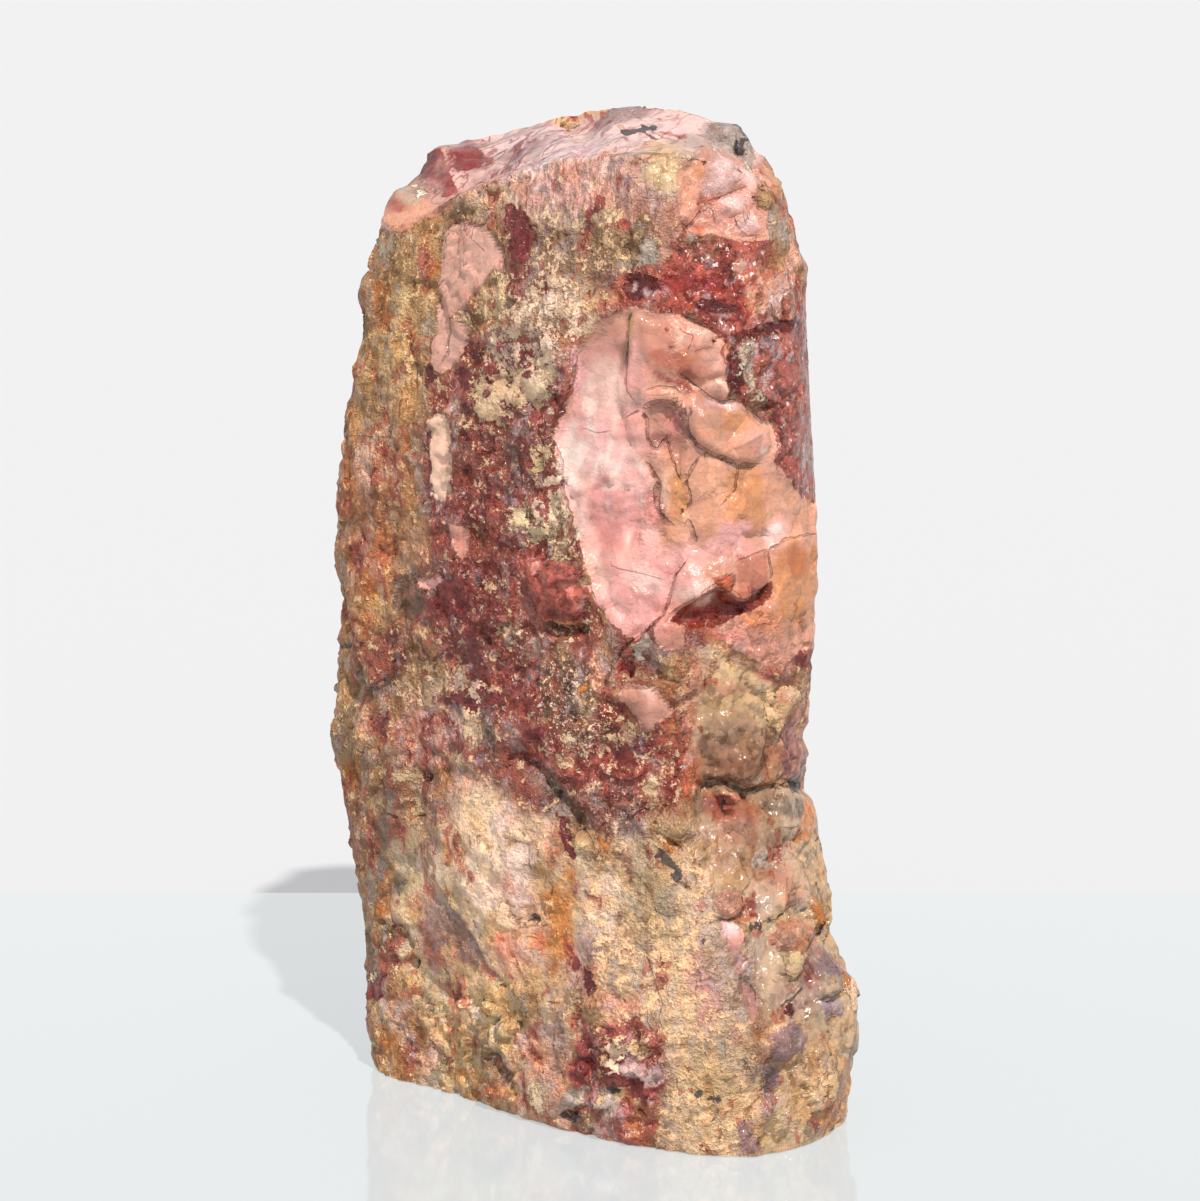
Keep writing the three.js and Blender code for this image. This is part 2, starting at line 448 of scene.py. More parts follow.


# %% [markdown]
# ## The map of the face
#
# A rough opal block is a small landscape. The left part is weathered rind, the right part is the
# fresh break with pink opal, brown chalcedony sits under a black seam, and sandy rock fills the
# foot. The outlines below are its regions and its named features, and the lines are its cracks,
# ledges and valleys. A given list fits better than chance here, because no two of them are alike.

# %% Regions of the face
def catalogue(text):
    """Reads "name: values" entries, parted by semicolons, into a dictionary."""
    pairs = [entry.split(":") for entry in " ".join(text.split()).split(";")]
    return {name.strip(): values.strip() for name, values in pairs}


def measures(text):
    """The same, with each entry's values as a list of numbers."""
    return {name: [float(value) for value in values.split()] for name, values in catalogue(text).items()}


REGIONS = catalogue("""
opal face: 634,306 600,318 579,356 576,385 557,425 556,437 565,460 570,500 602,606 622,632 636,638 664,618
690,622 760,662 790,660 812,650 822,620 820,508 800,494 785,478 774,462 772,424 745,403 728,398 724,375
728,345 712,330 680,317; red band: 640,262 690,245 745,240 765,262 800,272 815,330 818,430 820,508 800,494
785,478 774,462 768,425 742,402 726,395 728,345 712,330 680,317 612,300 618,270; crown: 682,170 700,152
722,147 757,168 770,182 764,240 745,243 688,232 680,215 676,190; top field: 470,146 515,128 600,104 645,98
700,104 745,120 760,158 700,160 640,152 515,170 455,200 430,198 440,165; maroon field: 440,380 470,330
520,335 575,365 560,440 570,500 590,570 602,640 598,700 680,705 690,790 640,815 600,830 560,790 500,750
470,705 430,690 430,450; chalcedony: 700,650 760,665 800,690 812,780 826,830 834,930 866,980 868,1080
856,1140 760,1162 757,1080 770,1040 755,1000 745,930 712,905 692,830 696,795 690,730; sandy: 600,835 690,835
712,905 745,930 755,1080 747,1165 660,1160 652,1050 600,1000 590,900; cream: 432,872 440,800 470,770 505,790
560,812 596,848 592,960 560,1005 505,985; slip: 378,795 430,818 432,870 455,915 480,945 497,985 470,1010
430,1002 405,920 382,860; rough foot: 428,992 500,985 532,1010 515,1115 432,1085; rose: 520,1010 575,1008
578,1060 566,1135 515,1122 524,1060; burgundy: 575,1008 600,1020 640,1026 668,1055 665,1095 645,1150
566,1135
""")

# %% Features with an edge
FEATURES = catalogue("""
left crest: 372,230 388,212 400,190 410,183 422,181 428,190 428,200 440,207 455,205 400,230; glossy crest:
418,160 430,154 445,150 453,180 460,190 450,197 430,186 422,180; dark crest: 453,165 460,158 474,150 487,155
494,162 485,169 472,173 460,174; mauve ridge: 592,116 612,105 630,102 648,103 642,113 625,119 600,123; ink
mark: 620,128 630,128 658,121 656,127 630,134 623,135; grey corner: 703,128 720,123 736,122 750,142 755,158
748,166 740,165 735,155 728,150 712,145; waxy lumps: 640,160 655,154 672,158 682,168 684,185 678,198 662,198
650,190 642,178; orange bead: 751,192 760,188 766,193 769,203 764,211 757,208; pink patch: 444,232 452,226
462,222 480,224 492,228 500,240 505,255 500,268 465,312 470,320 470,335 466,352 448,372 436,370 432,360
440,330 442,270 440,250; clay sheet: 478,370 486,374 487,382 493,383 495,372 502,373 508,388 512,378 520,372
532,368 546,374 556,384 549,398 522,404 512,410 496,428 484,420 474,400; clay bank: 528,262 545,258 560,270
572,285 578,305 574,325 560,352 546,356 540,340 530,328 512,326 500,316 512,304 524,300 530,285; pale lens:
433,420 438,415 445,412 450,418 452,430 452,485 450,497 445,503 438,500 434,490 431,455; rose tongue:
447,522 456,520 466,524 469,540 468,556 462,561 450,535; pale chip: 412,575 422,579 438,571 445,576 448,590
438,593 418,586; tall maroon: 600,195 590,215 583,236 590,237 597,220 604,210 605,197; maroon cap: 508,200
520,202 534,225 534,240 530,255 522,262 515,255 511,245 517,235 509,225; clear crystal: 640,241 650,239
658,248 663,258 656,266 645,265 638,255; scalloped lump: 526,562 535,558 565,556 586,563 592,576 595,590
590,605 580,622 560,626 545,621 532,600 527,580; recess: 645,408 655,402 665,402 672,407 684,426 690,440
686,456 676,475 668,455 650,444 641,420; small lobe: 700,385 715,378 727,379 733,388 731,401 718,402
707,396; upper lobe: 640,322 660,318 690,322 712,332 727,345 727,372 700,384 684,376 660,372 646,360
640,340; main lobe: 690,405 705,402 720,405 735,402 748,408 768,430 771,446 762,458 750,464 738,463 705,449
695,438 689,425; pink block: 764,530 770,523 784,519 787,530 780,539 768,541; orange wedge: 712,578 733,573
731,583 727,591; pocket: 668,619 680,608 695,598 706,592 717,588 725,592 733,598 741,600 750,595 762,588
773,580 773,595 758,609 742,616 729,622 712,629 690,628; wax lens: 701,649 708,645 716,648 723,655 716,661
708,662 703,656; brown block: 709,678 722,672 738,678 742,690 738,700 722,701 710,698; cream plate: 722,698
738,694 758,697 763,705 762,724 752,718 745,706 733,712 722,708; arrowhead: 764,690 775,690 790,687 799,690
803,698 796,712 776,743 762,712; big dome: 702,724 712,712 730,706 748,710 760,722 764,745 762,768 752,781
735,778 720,768 706,764 701,745; tongue: 700,792 702,780 706,770 713,765 722,765 746,778 775,788 770,790
752,788 720,779 708,784; foot lobe: 620,690 625,684 650,682 672,706 669,713 661,718 655,727 648,731 621,698;
peach drop: 656,622 668,615 684,620 686,640 678,651 664,650 656,640; wet corner: 640,636 654,631 658,645
655,662 644,678 612,694 602,697 614,668 625,652; olive block: 663,656 676,653 686,660 686,676 674,682
664,674; white chip: 503,836 508,830 518,828 527,834 533,843 522,842; ochre knob: 569,826 578,822 588,826
598,840 600,855 592,857 580,850 572,840; ink stain: 662,843 668,847 667,853 673,858 678,866 680,877 676,882
671,872 666,866 660,854; pebble: 712,905 716,892 728,886 740,890 744,905 738,917 725,920 716,916; ember:
812,902 818,898 823,905 823,918 819,930 814,924 811,914; brown plate: 773,932 784,922 800,917 811,925
813,936 808,946 800,953 785,953 777,950 771,942; lower knob: 783,955 795,953 802,960 801,972 793,981
785,974; cream squiggle: 780,1003 795,991 802,983 803,988 797,997 781,1006; mauve lens: 775,1035 782,1025
790,1021 800,1021 807,1029 811,1038 805,1048 785,1058 775,1061 768,1056 765,1046; lilac lens: 824,1006
832,1000 842,1003 845,1012 838,1021 828,1020; edge lens: 848,974 855,982 859,995 858,1008 852,1012 846,986;
pale foot lens: 820,1076 827,1070 833,1074 836,1088 833,1100 824,1102 819,1092; salmon streak: 720,919
735,921 743,930 741,950 747,962 741,971 734,966 729,950 723,940; streak tail: 738,970 748,980 755,994
757,1012 755,1024 748,1018 746,1002 741,988; clay splash: 608,1045 632,1050 637,1054 624,1058 618,1064
614,1072 610,1064; orange crumb: 632,1044 640,1041 647,1046 644,1053 635,1053; taupe lens: 742,1140 750,1134
759,1138 761,1150 752,1157 743,1153; long groove bed: 518,752 536,762 552,775 592,834 600,856 574,830
536,780 520,764
""")

# %% Cracks, ledges and valleys
LINES = catalogue("""
bowl edge: 590,338 579,355 576,385 570,400 562,412 557,425 556,437 565,460 568,490 575,512 580,540 585,555
590,562 600,600 606,615; bowl foot: 690,556 676,575 669,603 663,615 650,628 630,642 620,655 600,697; bowl
step: 566,462 573,477 585,487 590,495 587,513 593,557 598,580 607,600 622,618 640,630; ripple one: 600,452
611,466 618,484 616,500 606,512; ripple two: 612,491 623,487 637,490 641,502 639,518; ripple three: 640,447
643,463 656,494; ripple four: 611,503 622,506 634,503 643,520; facet one: 590,520 596,500 606,490 616,488
624,493 632,490 640,492; facet two: 638,505 640,520 638,536 640,550; facet three: 621,462 614,484; rib one:
600,560 613,606; rib two: 610,556 621,604; rib three: 622,560 630,606; cheek: 622,340 616,396 630,436
634,458; shoulder: 594,350 598,372 584,420; bowl crack: 634,310 629,320 626,380 628,392 637,402; left
hairline: 581,430 587,428 598,433 612,430; recess rim: 641,411 645,405 655,401 665,401 674,404 681,413
690,435 698,445 708,452 735,463 750,465 764,463; recess foot: 624,418 642,409 646,420 648,440 652,448
657,450 663,440 676,472 686,487; brow: 645,390 660,386 675,388 683,395 688,405; red valley: 676,371 712,398
725,403 735,401 745,404 771,427; lobe crack: 682,392 692,412 687,418 690,430; arm edge: 645,460 658,482
656,502 660,512 668,522 678,526; arm line: 700,455 686,480 690,492 691,502 686,510; arm line low: 688,518
697,542; side crack: 738,463 739,475 736,490 721,506; low hairline: 611,560 613,566 668,580; orange step:
817,533 785,539 768,550 755,553 735,562; upright crack: 768,550 773,575 768,590 762,600; wedge line: 694,594
732,572; pocket lip: 664,622 672,611 680,605 695,596 706,590 717,586 726,590 734,597 742,599 750,594 762,587
772,579; crown crack: 680,232 690,225 710,203 745,186; crown crack low: 735,215 737,225 745,232 740,236
760,236; crown crack side: 745,205 748,215 743,230; crown twig: 710,203 716,212 718,222; corner crack:
735,140 737,150 742,157; ink crack: 650,127 672,140; brown seam: 680,317 700,322 712,330 722,333; dark band:
790,320 765,325 745,335 732,350 728,365; patch crack one: 452,226 446,244; patch crack two: 466,222 468,232
475,240; patch crack three: 478,226 477,240 490,252; patch crack four: 458,312 452,355 443,365; rind red
line: 345,437 360,436 395,438; rind red upright: 375,440 375,480; clay crack: 552,375 563,405 567,410;
scallop top: 526,561 565,556 577,559 585,563 592,581; scallop foot: 545,620 555,628 570,631 582,630 588,622;
left nick: 336,645 350,646; slip crack: 378,803 388,812 402,820; ledge pit line: 410,816 416,817 423,814;
slip edge: 430,868 458,915 475,935 490,965 508,988; long groove: 508,748 534,770 546,784 592,844 599,856;
maroon shelf: 600,771 615,779 632,781 645,774; vein: 636,813 668,804; ink crack low: 656,829 684,851; black
seam: 700,797 705,788 715,784 725,784 745,792 755,793 810,781; dome line: 764,722 764,745 767,765 772,782;
arrowhead edge: 799,704 795,715 777,742; arrowhead left: 762,703 764,718 776,742; block crack: 758,692
766,693 782,689; left mark: 702,672 704,678 703,684; olive line: 780,828 790,829 800,826; pebble foot:
714,916 725,920 738,918; nest crack: 740,919 752,898; plate crack: 766,921 780,921 800,905; streak edge:
752,984 755,992 755,1002; orange hole: 526,922 532,920 538,921; orange arc: 519,928 530,926 540,927 550,924;
orange line: 548,880 551,888 550,897; tan crack: 643,880 658,912 668,917 682,915; tan crack left: 627,920
635,923 645,921 651,923; tan crack long: 638,938 650,965 655,985 662,1003 661,1016; tan crack low: 647,1008
648,1020 652,1031; small crack: 584,889 588,896 601,901; black crack: 677,881 690,889; foot crack: 432,1038
446,1064; foot crack two: 488,999 498,1003; foot crack three: 500,984 504,987 509,987; foot crack four:
494,1050 512,1092; foot crack five: 430,1000 435,1012; rose crack: 549,1001 561,1004; foot slot: 638,1110
649,1119; foot cave: 562,1114 568,1112 576,1117; sand arc: 738,1060 744,1060 751,1073; sand crack: 714,1103
718,1110 716,1117 711,1121; sand crack two: 716,1088 720,1091 726,1092; slip groove: 397,921 412,951; seam
low: 770,1052 764,1066 762,1080 766,1096 756,1102 748,1112 744,1126
""")
print(len(REGIONS), "regions,", len(FEATURES), "features,", len(LINES), "lines")

# %% [markdown]
# ## Carving
#
# Everything that would throw a shadow is real relief. Five tools do it: a raised plate with a
# shoulder, a dome, a ledge that is sharp on one side and fades on the other, a valley, and a pit.
# The opal breaks in smooth curves, so it gets only faint ripples. The red band and the chalcedony
# break in small leaning chips, and the rind is weathered into upright crags.

# %% Carving tools
relief = np.zeros_like(HEIGHT)  # mm that the surface moves outward


def soft_region(name, soft=1.6):
    """1 inside a region and 0 outside, with a soft ragged edge."""
    return smooth_step(inside(REGIONS[name], 1.0), -soft, soft) * DRAWN


def raise_by(height):
    """Adds to the relief wherever the drawing counts."""
    relief[...] += height * DRAWN


def raise_plate(name, height, shoulder=1.2, ragged=0.25):
    """A flat plate, or a hollow if the height is negative, with a shoulder some mm wide."""
    raise_by(height * smooth_step(inside(FEATURES[name], ragged), -0.2, shoulder))


def raise_dome(name, height):
    """A round swelling that is highest where an outline is widest."""
    field = np.maximum(inside(FEATURES[name], 0.25), 0)
    middle = max(field.max(), 1e-6)
    raise_by(height * np.sqrt(1 - (1 - field / middle) ** 2))


def cut_ledge(name, height, fade, side):
    """Raises one side of a line, sharp at the line and fading over some mm away from it."""
    distance, along = beside(LINES[name])
    away = side * distance
    slope = np.exp(-np.maximum(away, 0) / fade) * smooth_step(away, -0.4, 0.3)
    raise_by(height * taper(along, 0.12) * slope)


def cut_valley(name, depth, width):
    """A round valley along a line, shallower at its ends."""
    distance, along = beside(LINES[name])
    raise_by(-depth * (0.15 + 0.85 * taper(along, 0.1)) * np.exp(-((distance / width) ** 2)))


def cut_pit(x, y, wide, deep):
    """A round hollow, some mm across its radius, at a place on the sheet."""
    gap = np.hypot(ACROSS - x, DOWN - y) / SQUARES_PER_MM
    raise_by(-deep * np.exp(-((gap / wide) ** 2)))


# %% Carve the plates and domes
PLATES = measures("""
clay sheet: 0.55; clay bank: 0.5; pink patch: 0.45; pale lens: 0.4; rose tongue: 0.35; pale chip: 0.35; tall
maroon: 0.4; arrowhead: 0.9; cream plate: 0.5; tongue: 0.9; white chip: 0.5; cream squiggle: 0.5; clay
splash: 0.4; orange wedge: 0.4; brown block: 0.4; pink block: 0.15; olive block: 0.4; mauve ridge: 0.6; edge
lens: 0.5; small lobe: 0.6; upper lobe: 0.8; main lobe: 0.8; peach drop: 0.5
""")
DOMES = measures("""
scalloped lump: 2.8; main lobe: 0.2; wax lens: 0.8; big dome: 2.2; foot lobe: 1.2; ochre knob: 1.0; pebble:
1.6; ember: 0.8; brown plate: 1.5; lower knob: 1.2; mauve lens: 0.9; lilac lens: 0.6; pale foot lens: 0.7;
orange bead: 0.8; waxy lumps: 1.0; clear crystal: 0.8; grey corner: 0.9; salmon streak: 0.7; taupe lens: 0.5
""")
HOLLOWS = measures("""
recess: -1.8 1.4 0.25; wet corner: -0.9 1.4 0.25; pocket: -1.5 1.3 0.1; long groove bed: -1.2 2.0 0.25
""")
for name, numbers in (PLATES | HOLLOWS).items():
    raise_plate(name, *numbers)
for name, (height,) in DOMES.items():
    raise_dome(name, height)
print(len(PLATES), "plates,", len(DOMES), "domes,", len(HOLLOWS), "hollows")

# %% Carve the ledges, valleys and pits
LEDGES = measures("""
bowl edge: 1.5 7.0 1; bowl foot: 1.4 6.0 -1; bowl crack: 0.5 5.0 -1; bowl step: 1.3 1.8 1; ripple one: 1.0
1.8 1; ripple two: -0.8 1.8 1; ripple three: 0.9 1.8 1; ripple four: 0.6 1.8 1; rib one: 0.6 1.8 1; rib two:
0.6 1.8 1; rib three: 0.5 1.8 1; cheek: -1.0 1.8 1; shoulder: 0.7 1.8 1; facet one: 1.2 1.8 1; facet two:
-0.8 1.8 1; facet three: 0.9 1.8 1; recess rim: 0.9 4.0 -1; orange step: 0.7 6.0 -1; pocket lip: 0.9 4.0 -1;
slip edge: 1.1 6.0 -1; scallop top: 0.9 3.0 1; side crack: 0.4 4.0 -1; maroon shelf: 0.9 4.0 -1; slip crack:
0.6 4.0 1
""")
for name, numbers in LEDGES.items():
    cut_ledge(name, *numbers)
VALLEYS = measures("""
red valley: 1.6 1.5; lobe crack: 0.5 0.7; recess rim: 0.6 0.7; bowl foot: 1.1 0.7; bowl crack: 0.5 0.6;
recess foot: 0.5 0.8; black seam: 1.7 1.1; long groove: 1.6 1.8; scallop foot: 1.8 1.1; arrowhead edge: 0.9
0.8; dome line: 0.7 0.8; crown crack: 0.9 0.9; dark band: 0.7 1.4; crown crack low: 0.6 0.7; crown crack
side: 0.5 0.7; upright crack: 0.6 0.7; arm edge: 0.4 0.7; arm line: 0.35 0.6; side crack: 0.4 0.6; brow:
0.35 0.8; vein: 0.8 0.8; ink crack low: 0.7 0.7; left nick: 1.2 0.8; slip groove: 1.3 0.9; pebble foot: 0.8
0.7; nest crack: 0.7 0.7; plate crack: 0.8 0.8; streak edge: 0.6 0.7; orange hole: 1.0 0.7; black crack: 0.9
0.7; foot crack: 1.0 0.8; foot crack four: 1.3 1.1; foot crack two: 0.6 0.6; foot crack three: 0.6 0.6; foot
slot: 0.9 0.7; foot cave: 1.3 1.0; tan crack long: 0.35 0.7; tan crack: 0.35 0.7; seam low: 0.8 1.2; corner
crack: 0.9 0.7; clay crack: 0.5 0.7; ledge pit line: 1.0 0.6; block crack: 0.5 0.6
""")
for name, numbers in VALLEYS.items():
    cut_valley(name, *numbers)
PITS = measures("""
spot pit: 768 407 1.0 2.2; groove pit: 547 802 0.9 2.2; square pit: 413 963 1.1 3.0; upper ledge pit: 426
776 0.9 2.0; ledge pit: 416 786 1.8 1.1; ledge slot: 416 806 1.6 0.9; corner pit: 739 150 0.9 1.5; top
hollow: 580 118 5.0 2.4; red pit: 463 975 0.6 0.7; dark hollow: 476 538 2.0 1.3; arm pit: 687 508 0.6 0.6;
waist notch: 806 736 2.4 1.4; seam notch: 810 786 2.2 1.6; side notch: 832 930 1.6 1.0; left hollow: 352 332
4.5 1.9; cave: 569 1116 1.4 1.5; left hollow low: 345 692 4.5 2.3
""")
BUMPS = measures("""
crest: 431 163 3.4 -1.4; crest end: 446 158 2.6 -1.6; left crest: 396 200 3.6 -1.3; crest foot: 384 216 2.6
-1.0; dark crest: 470 160 3.4 -1.4; top corner: 745 128 3.4 -1.6
""")
for numbers in (*PITS.values(), *BUMPS.values()):
    cut_pit(*numbers)
print(len(LEDGES), "ledges,", len(VALLEYS), "valleys,", len(PITS), "pits,", len(BUMPS), "bumps")

# %% Masks of the regions
BOWL_END, PLATES_START = 640, 668  # squares across, where the opal's bowl gives way to its plates
REGION_NAMES = ("opal face", "red band", "crown", "maroon field", "chalcedony", "sandy", "cream", "slip")
opal, red, crown, maroon, glassy, sandy, cream, slip = map(soft_region, REGION_NAMES)
foot = np.maximum(soft_region("rough foot"), soft_region("burgundy"))
top = smooth_step(SMOOTH_NORMAL[..., 2], 0.45, 0.8)
broken = np.clip(red + glassy + crown, 0, 1)
rind = np.clip(1 - opal - broken - sandy - cream - slip - foot - maroon - top, 0, 1)
hidden_rind = rind * (1 - smooth_step(FACING, -0.75, -0.4))
plates = opal * smooth_step(ACROSS + 0.15 * (DOWN - 480), BOWL_END, PLATES_START)
bowl = opal - plates
crest_fields = [inside(FEATURES[name], 0.5) for name in ("left crest", "glossy crest", "dark crest")]
rim = smooth_step(np.max(crest_fields, axis=0), -1, 1.5) * DRAWN
calm = 1 - 0.8 * smooth_step(ACROSS, 788, 806)  # keeps the right outline clean
print("share of the skin that is rind:", rind.mean().round(2), "and opal:", opal.mean().round(2))

# %% Carve the texture of each region
broad_lean, broad_edge, broad_tone = chips(SMOOTH_NET + 2.5 * WARP, 21.0, 65, (1, 1, 1.5))
big_lean, big_edge, _ = chips(SMOOTH_NET + 1.2 * WARP, 8.0, 5, (1, 1, 1.3))
textures = {  # each about 1 mm high, but for the gaps, which are 1 at a chip's edge and 0 inside it
    "crags": 1 - np.abs(rough(SMOOTH_NET, 11.0, 35, 3, (1, 1, 1.8))),
    "flutes": 1 - np.abs(rough(SMOOTH_NET, 7.0, 71, 2, (1, 1, 3.2))),
    "weather": rough(SMOOTH_NET, 6.0, 33, 3, (1, 1, 1.9)),
    "swell": rough(SMOOTH_NET, 14.0, 53, 2),
    "grit": rough(SMOOTH_NET, 1.8, 43, 2),
    "broad": broad_lean,
    "big": big_lean,
    "middle": chips(SMOOTH_NET + 0.8 * WARP, 4.0, 15)[0],
    "small": chips(SMOOTH_NET + 0.4 * WARP, 2.1, 25)[0],
    "broad_gaps": np.exp(-broad_edge / 0.9),
    "wide_gaps": np.exp(-big_edge / 0.5),
    "thin_gaps": np.exp(-big_edge / 0.4),
}
TEXTURES = [  # a region, then how many mm of each texture it gets
    (rind, dict(crags=1.0, weather=0.5, big=0.7, middle=0.5, grit=0.16, thin_gaps=-0.6)),
    (hidden_rind, dict(broad=3.0, swell=1.0, broad_gaps=-0.9)),
    (maroon, dict(crags=0.7, big=0.5, middle=0.7, small=0.2, grit=0.1)),
    (calm * red, dict(crags=0.6, middle=0.6, small=0.22, grit=0.06)),
    (crown + 0.5 * rim, dict(big=1.3, middle=0.9, wide_gaps=-0.7)),
    (glassy, dict(big=1.5, middle=0.3, swell=0.5, wide_gaps=-0.4)),
    (sandy, dict(middle=0.5, weather=0.5, grit=0.3, swell=0.35)),
    (cream, dict(middle=0.55, weather=0.4, grit=0.2, swell=0.35)),
    (slip, dict(crags=0.5, weather=0.45, grit=0.2, middle=0.4)),
    (foot, dict(crags=0.6, middle=1.3, small=0.7, grit=0.2)),
    (bowl, dict(flutes=0.55, swell=0.16, big=0.45)),
    (plates, dict(big=0.75, middle=0.3, flutes=0.2, thin_gaps=-0.35)),
    (top * (1 - rim), dict(big=0.6, middle=0.15, swell=0.3)),
]
for region, heights in TEXTURES:
    for name, height in heights.items():
        relief += region * height * textures[name]
relief[-1] = relief[-1].mean()
print("relief from", round(float(relief.min()), 2), "to", round(float(relief.max()), 2), "mm")

# %% Move the skin outward by the relief
offset = SMOOTH_NORMAL * relief[..., None]
offset[..., 2] *= BASE_FADE
net = SMOOTH_NET + offset
edge_row = len(SAWN_SHARES)
sawn_middle = net[edge_row].mean(0)
for row, share in enumerate(SAWN_SHARES):
    net[row] = sawn_middle + (net[edge_row] - sawn_middle) * share
net[: edge_row + 1, :, 2] = 0.0
print("carved size in mm:", np.round(np.ptp(net.reshape(-1, 3), axis=0), 1))

# %% [markdown]
# ## Colours
#
# The stone has one material but many minerals. A soft undercoat gives every place its general
# colour. Four crisp layers lie over it: opal, dark glossy minerals, pale crust and black stains.
# Each is kept on the skin as a distance in millimetres to the layer's edge, because a distance
# stays sharp between points where a mask would blur. All but the stains have a map of colours too.
# A few marks in the layers are painted highlights, sheen and shadow, and the black layer also holds
# painted shade in the pits.

# %% Paint chart
CHART = catalogue("""
ochre: b98a62; rust: b56a30; burnt: a26a48; tan: c99c6c; sand: e2ba8a; straw: d8b488; olive: 97744e; moss:
86664a; umber: 73503c; brown: 93614a; clay: e6c094; cream: f0c8a6; biscuit: cfa58a; buff: cba886; rose:
d0937e; pink: dfa596; blush: f2c8ba; pale: fcd0c2; candy: f8b2a8; sugar: e6948a; salmon: dfa087; peach:
e2a07c; apricot: da925e; coral: d67452; mauve: b08a80; maroon: 974a40; wine: 7a2f2a; oxblood: 5c1a16; blood:
8a2a22; brick: ac5444; red: be5f4c; ruby: a34c48; lilac: ab928e; grey: b09a8a; smoke: 946f66; slate: 5f4c48;
soot: 2a2422; honey: cda072; beige: c9a680; orange: cd8040; ivory: f3e6d2; stone: c0a488; plum: 8d706e;
terracotta: c58a70; copper: bd7146; khaki: a27c56; ember: 8c3a26; silver: bca796; roan: aa6c60; russet:
c87a62; taupe: a8866c; flesh: f6bfa8
""")
STUDIO_LIGHT = 1.25  # the chart was matched under light this much brighter than plain white


def shade(code):
    """The paint, as linear light, that looks like a chart colour on the lit stone."""
    channels = np.array([int(code[i : i + 2], 16) for i in (0, 2, 4)]) / 255
    light = np.where(channels <= 0.04045, channels / 12.92, ((channels + 0.055) / 1.055) ** 2.4)
    return light / STUDIO_LIGHT


PAINT = {name: shade(code) for name, code in CHART.items()}
print(len(PAINT), "paints")


# %% Ways to lay paint
def entries(text):
    """Reads entries parted by semicolons: a first word, then a place."""
    return [entry.strip().split(" ", 1) for entry in " ".join(text.split()).split(";")]


def oval(text, ragged=0.0):
    """Distance in mm inside an oval, written "across,down half-width,half-height lean"."""
    middle, radii, lean = (text.split() + ["0"])[:3]
    (x, y), (rx, ry) = points_of(middle)[0], points_of(radii)[0]
    turn = math.radians(float(lean))
    dx = ACROSS - x + ragged * SQUARES_PER_MM * WARP[..., 0]
    dy = DOWN - y + ragged * SQUARES_PER_MM * WARP[..., 1]
    along = dx * math.cos(turn) + dy * math.sin(turn)
    over = dy * math.cos(turn) - dx * math.sin(turn)
    return (1 - np.hypot(along / rx, over / ry)) * min(rx, ry) / SQUARES_PER_MM


def shape(text, ragged):
    """Distance inside a named feature, a named region, an oval or an outline."""
    outline = FEATURES.get(text) or REGIONS.get(text) or text
    return oval(text, ragged) if outline.count(",") == 2 else inside(outline, ragged)


BLOTCH = 0.8 * lumps(SMOOTH_NET, 2.2, 66) + 0.6 * lumps(SMOOTH_NET, 1.4, 67)


def wash(tones, marks, soft, ragged=0.9, cover=0.85, blotchy=1.0):
    """Paints blotchy patches over the colours, in order."""
    for colour, text in entries(marks):
        field = shape(text, ragged) + soft * blotchy * BLOTCH
        strength = cover * smooth_step(field, -soft, soft) * DRAWN
        tones += (PAINT[colour] - tones) * strength[..., None]


def patch(tones, field, marks, ragged=0.35, firm=1.0):
    """Adds crisp patches to a layer: its colours near each patch, and its distance field.

    A firm patch counts its distances larger, so that the noise can't break up its edge.
    """
    for colour, text in entries(marks):
        distance = np.where(ON_FACE, shape(text, ragged) * firm, FAR)
        tones[(distance > field) | (distance > 0)] = PAINT[colour]
        np.maximum(field, distance, out=field)


def chance_field(wavelength, seed, level, stretch=(1, 1, 1)):
    """The start of a layer's distance field: nothing yet on the drawn face, and on the far side
    patches where the lumps rise above a level."""
    field = (rough(SMOOTH_NET, wavelength, seed, 3, stretch) - level) * wavelength * 0.35
    return np.where(ON_FACE, FAR, field)


# %% Undercoat of the whole stone
undercoat = np.ones(HEIGHT.shape + (3,)) * PAINT["ochre"]
FAR_SIDE = [  # a colour, the lumps' wavelength in mm, their seed and the level they show above
    ("maroon", 60, 78, 0.05), ("cream", 48, 79, 0.35), ("umber", 44, 80, 0.4),
    ("burnt", 22, 81, 0.15), ("tan", 17, 82, 0.25), ("biscuit", 26, 83, 0.2), ("maroon", 20, 84, 0.45),
    ("olive", 14, 85, 0.6), ("honey", 30, 86, 0.3), ("rust", 11, 87, 0.75), ("rose", 19, 88, 0.6),
    ("umber", 9, 89, 0.8),
]
for colour, wavelength, seed, level in FAR_SIDE:
    amount = smooth_step(rough(SMOOTH_NET, wavelength, seed, 3, (1, 1, 1.6)), level, level + 0.35)
    undercoat += (PAINT[colour] - undercoat) * (0.85 * amount[..., None])
undercoat *= 1 + (0.5 * (broad_tone - 0.5) * (1 - DRAWN))[..., None]  # no two broad chips are alike
print("far side painted with", len(FAR_SIDE), "layers")

# %% Undercoat of the drawn face: broad areas
BROAD = """
ochre 330,200 460,200 520,240 540,340 440,380 430,560 420,700 400,800 380,1080 330,1080; rose 500,166
560,158 680,155 690,240 640,262 600,240 585,205 530,215; khaki 528,226 585,222 640,222 655,255 600,275
560,300 520,320 505,285; tan 346,330 430,330 428,425 340,430; maroon maroon field; brick red band; beige
chalcedony; buff sandy; biscuit cream; beige slip; honey rough foot; rose rose; maroon burgundy; blush top
field
"""
wash(undercoat, BROAD, 1.6, 1.6, 1.0)
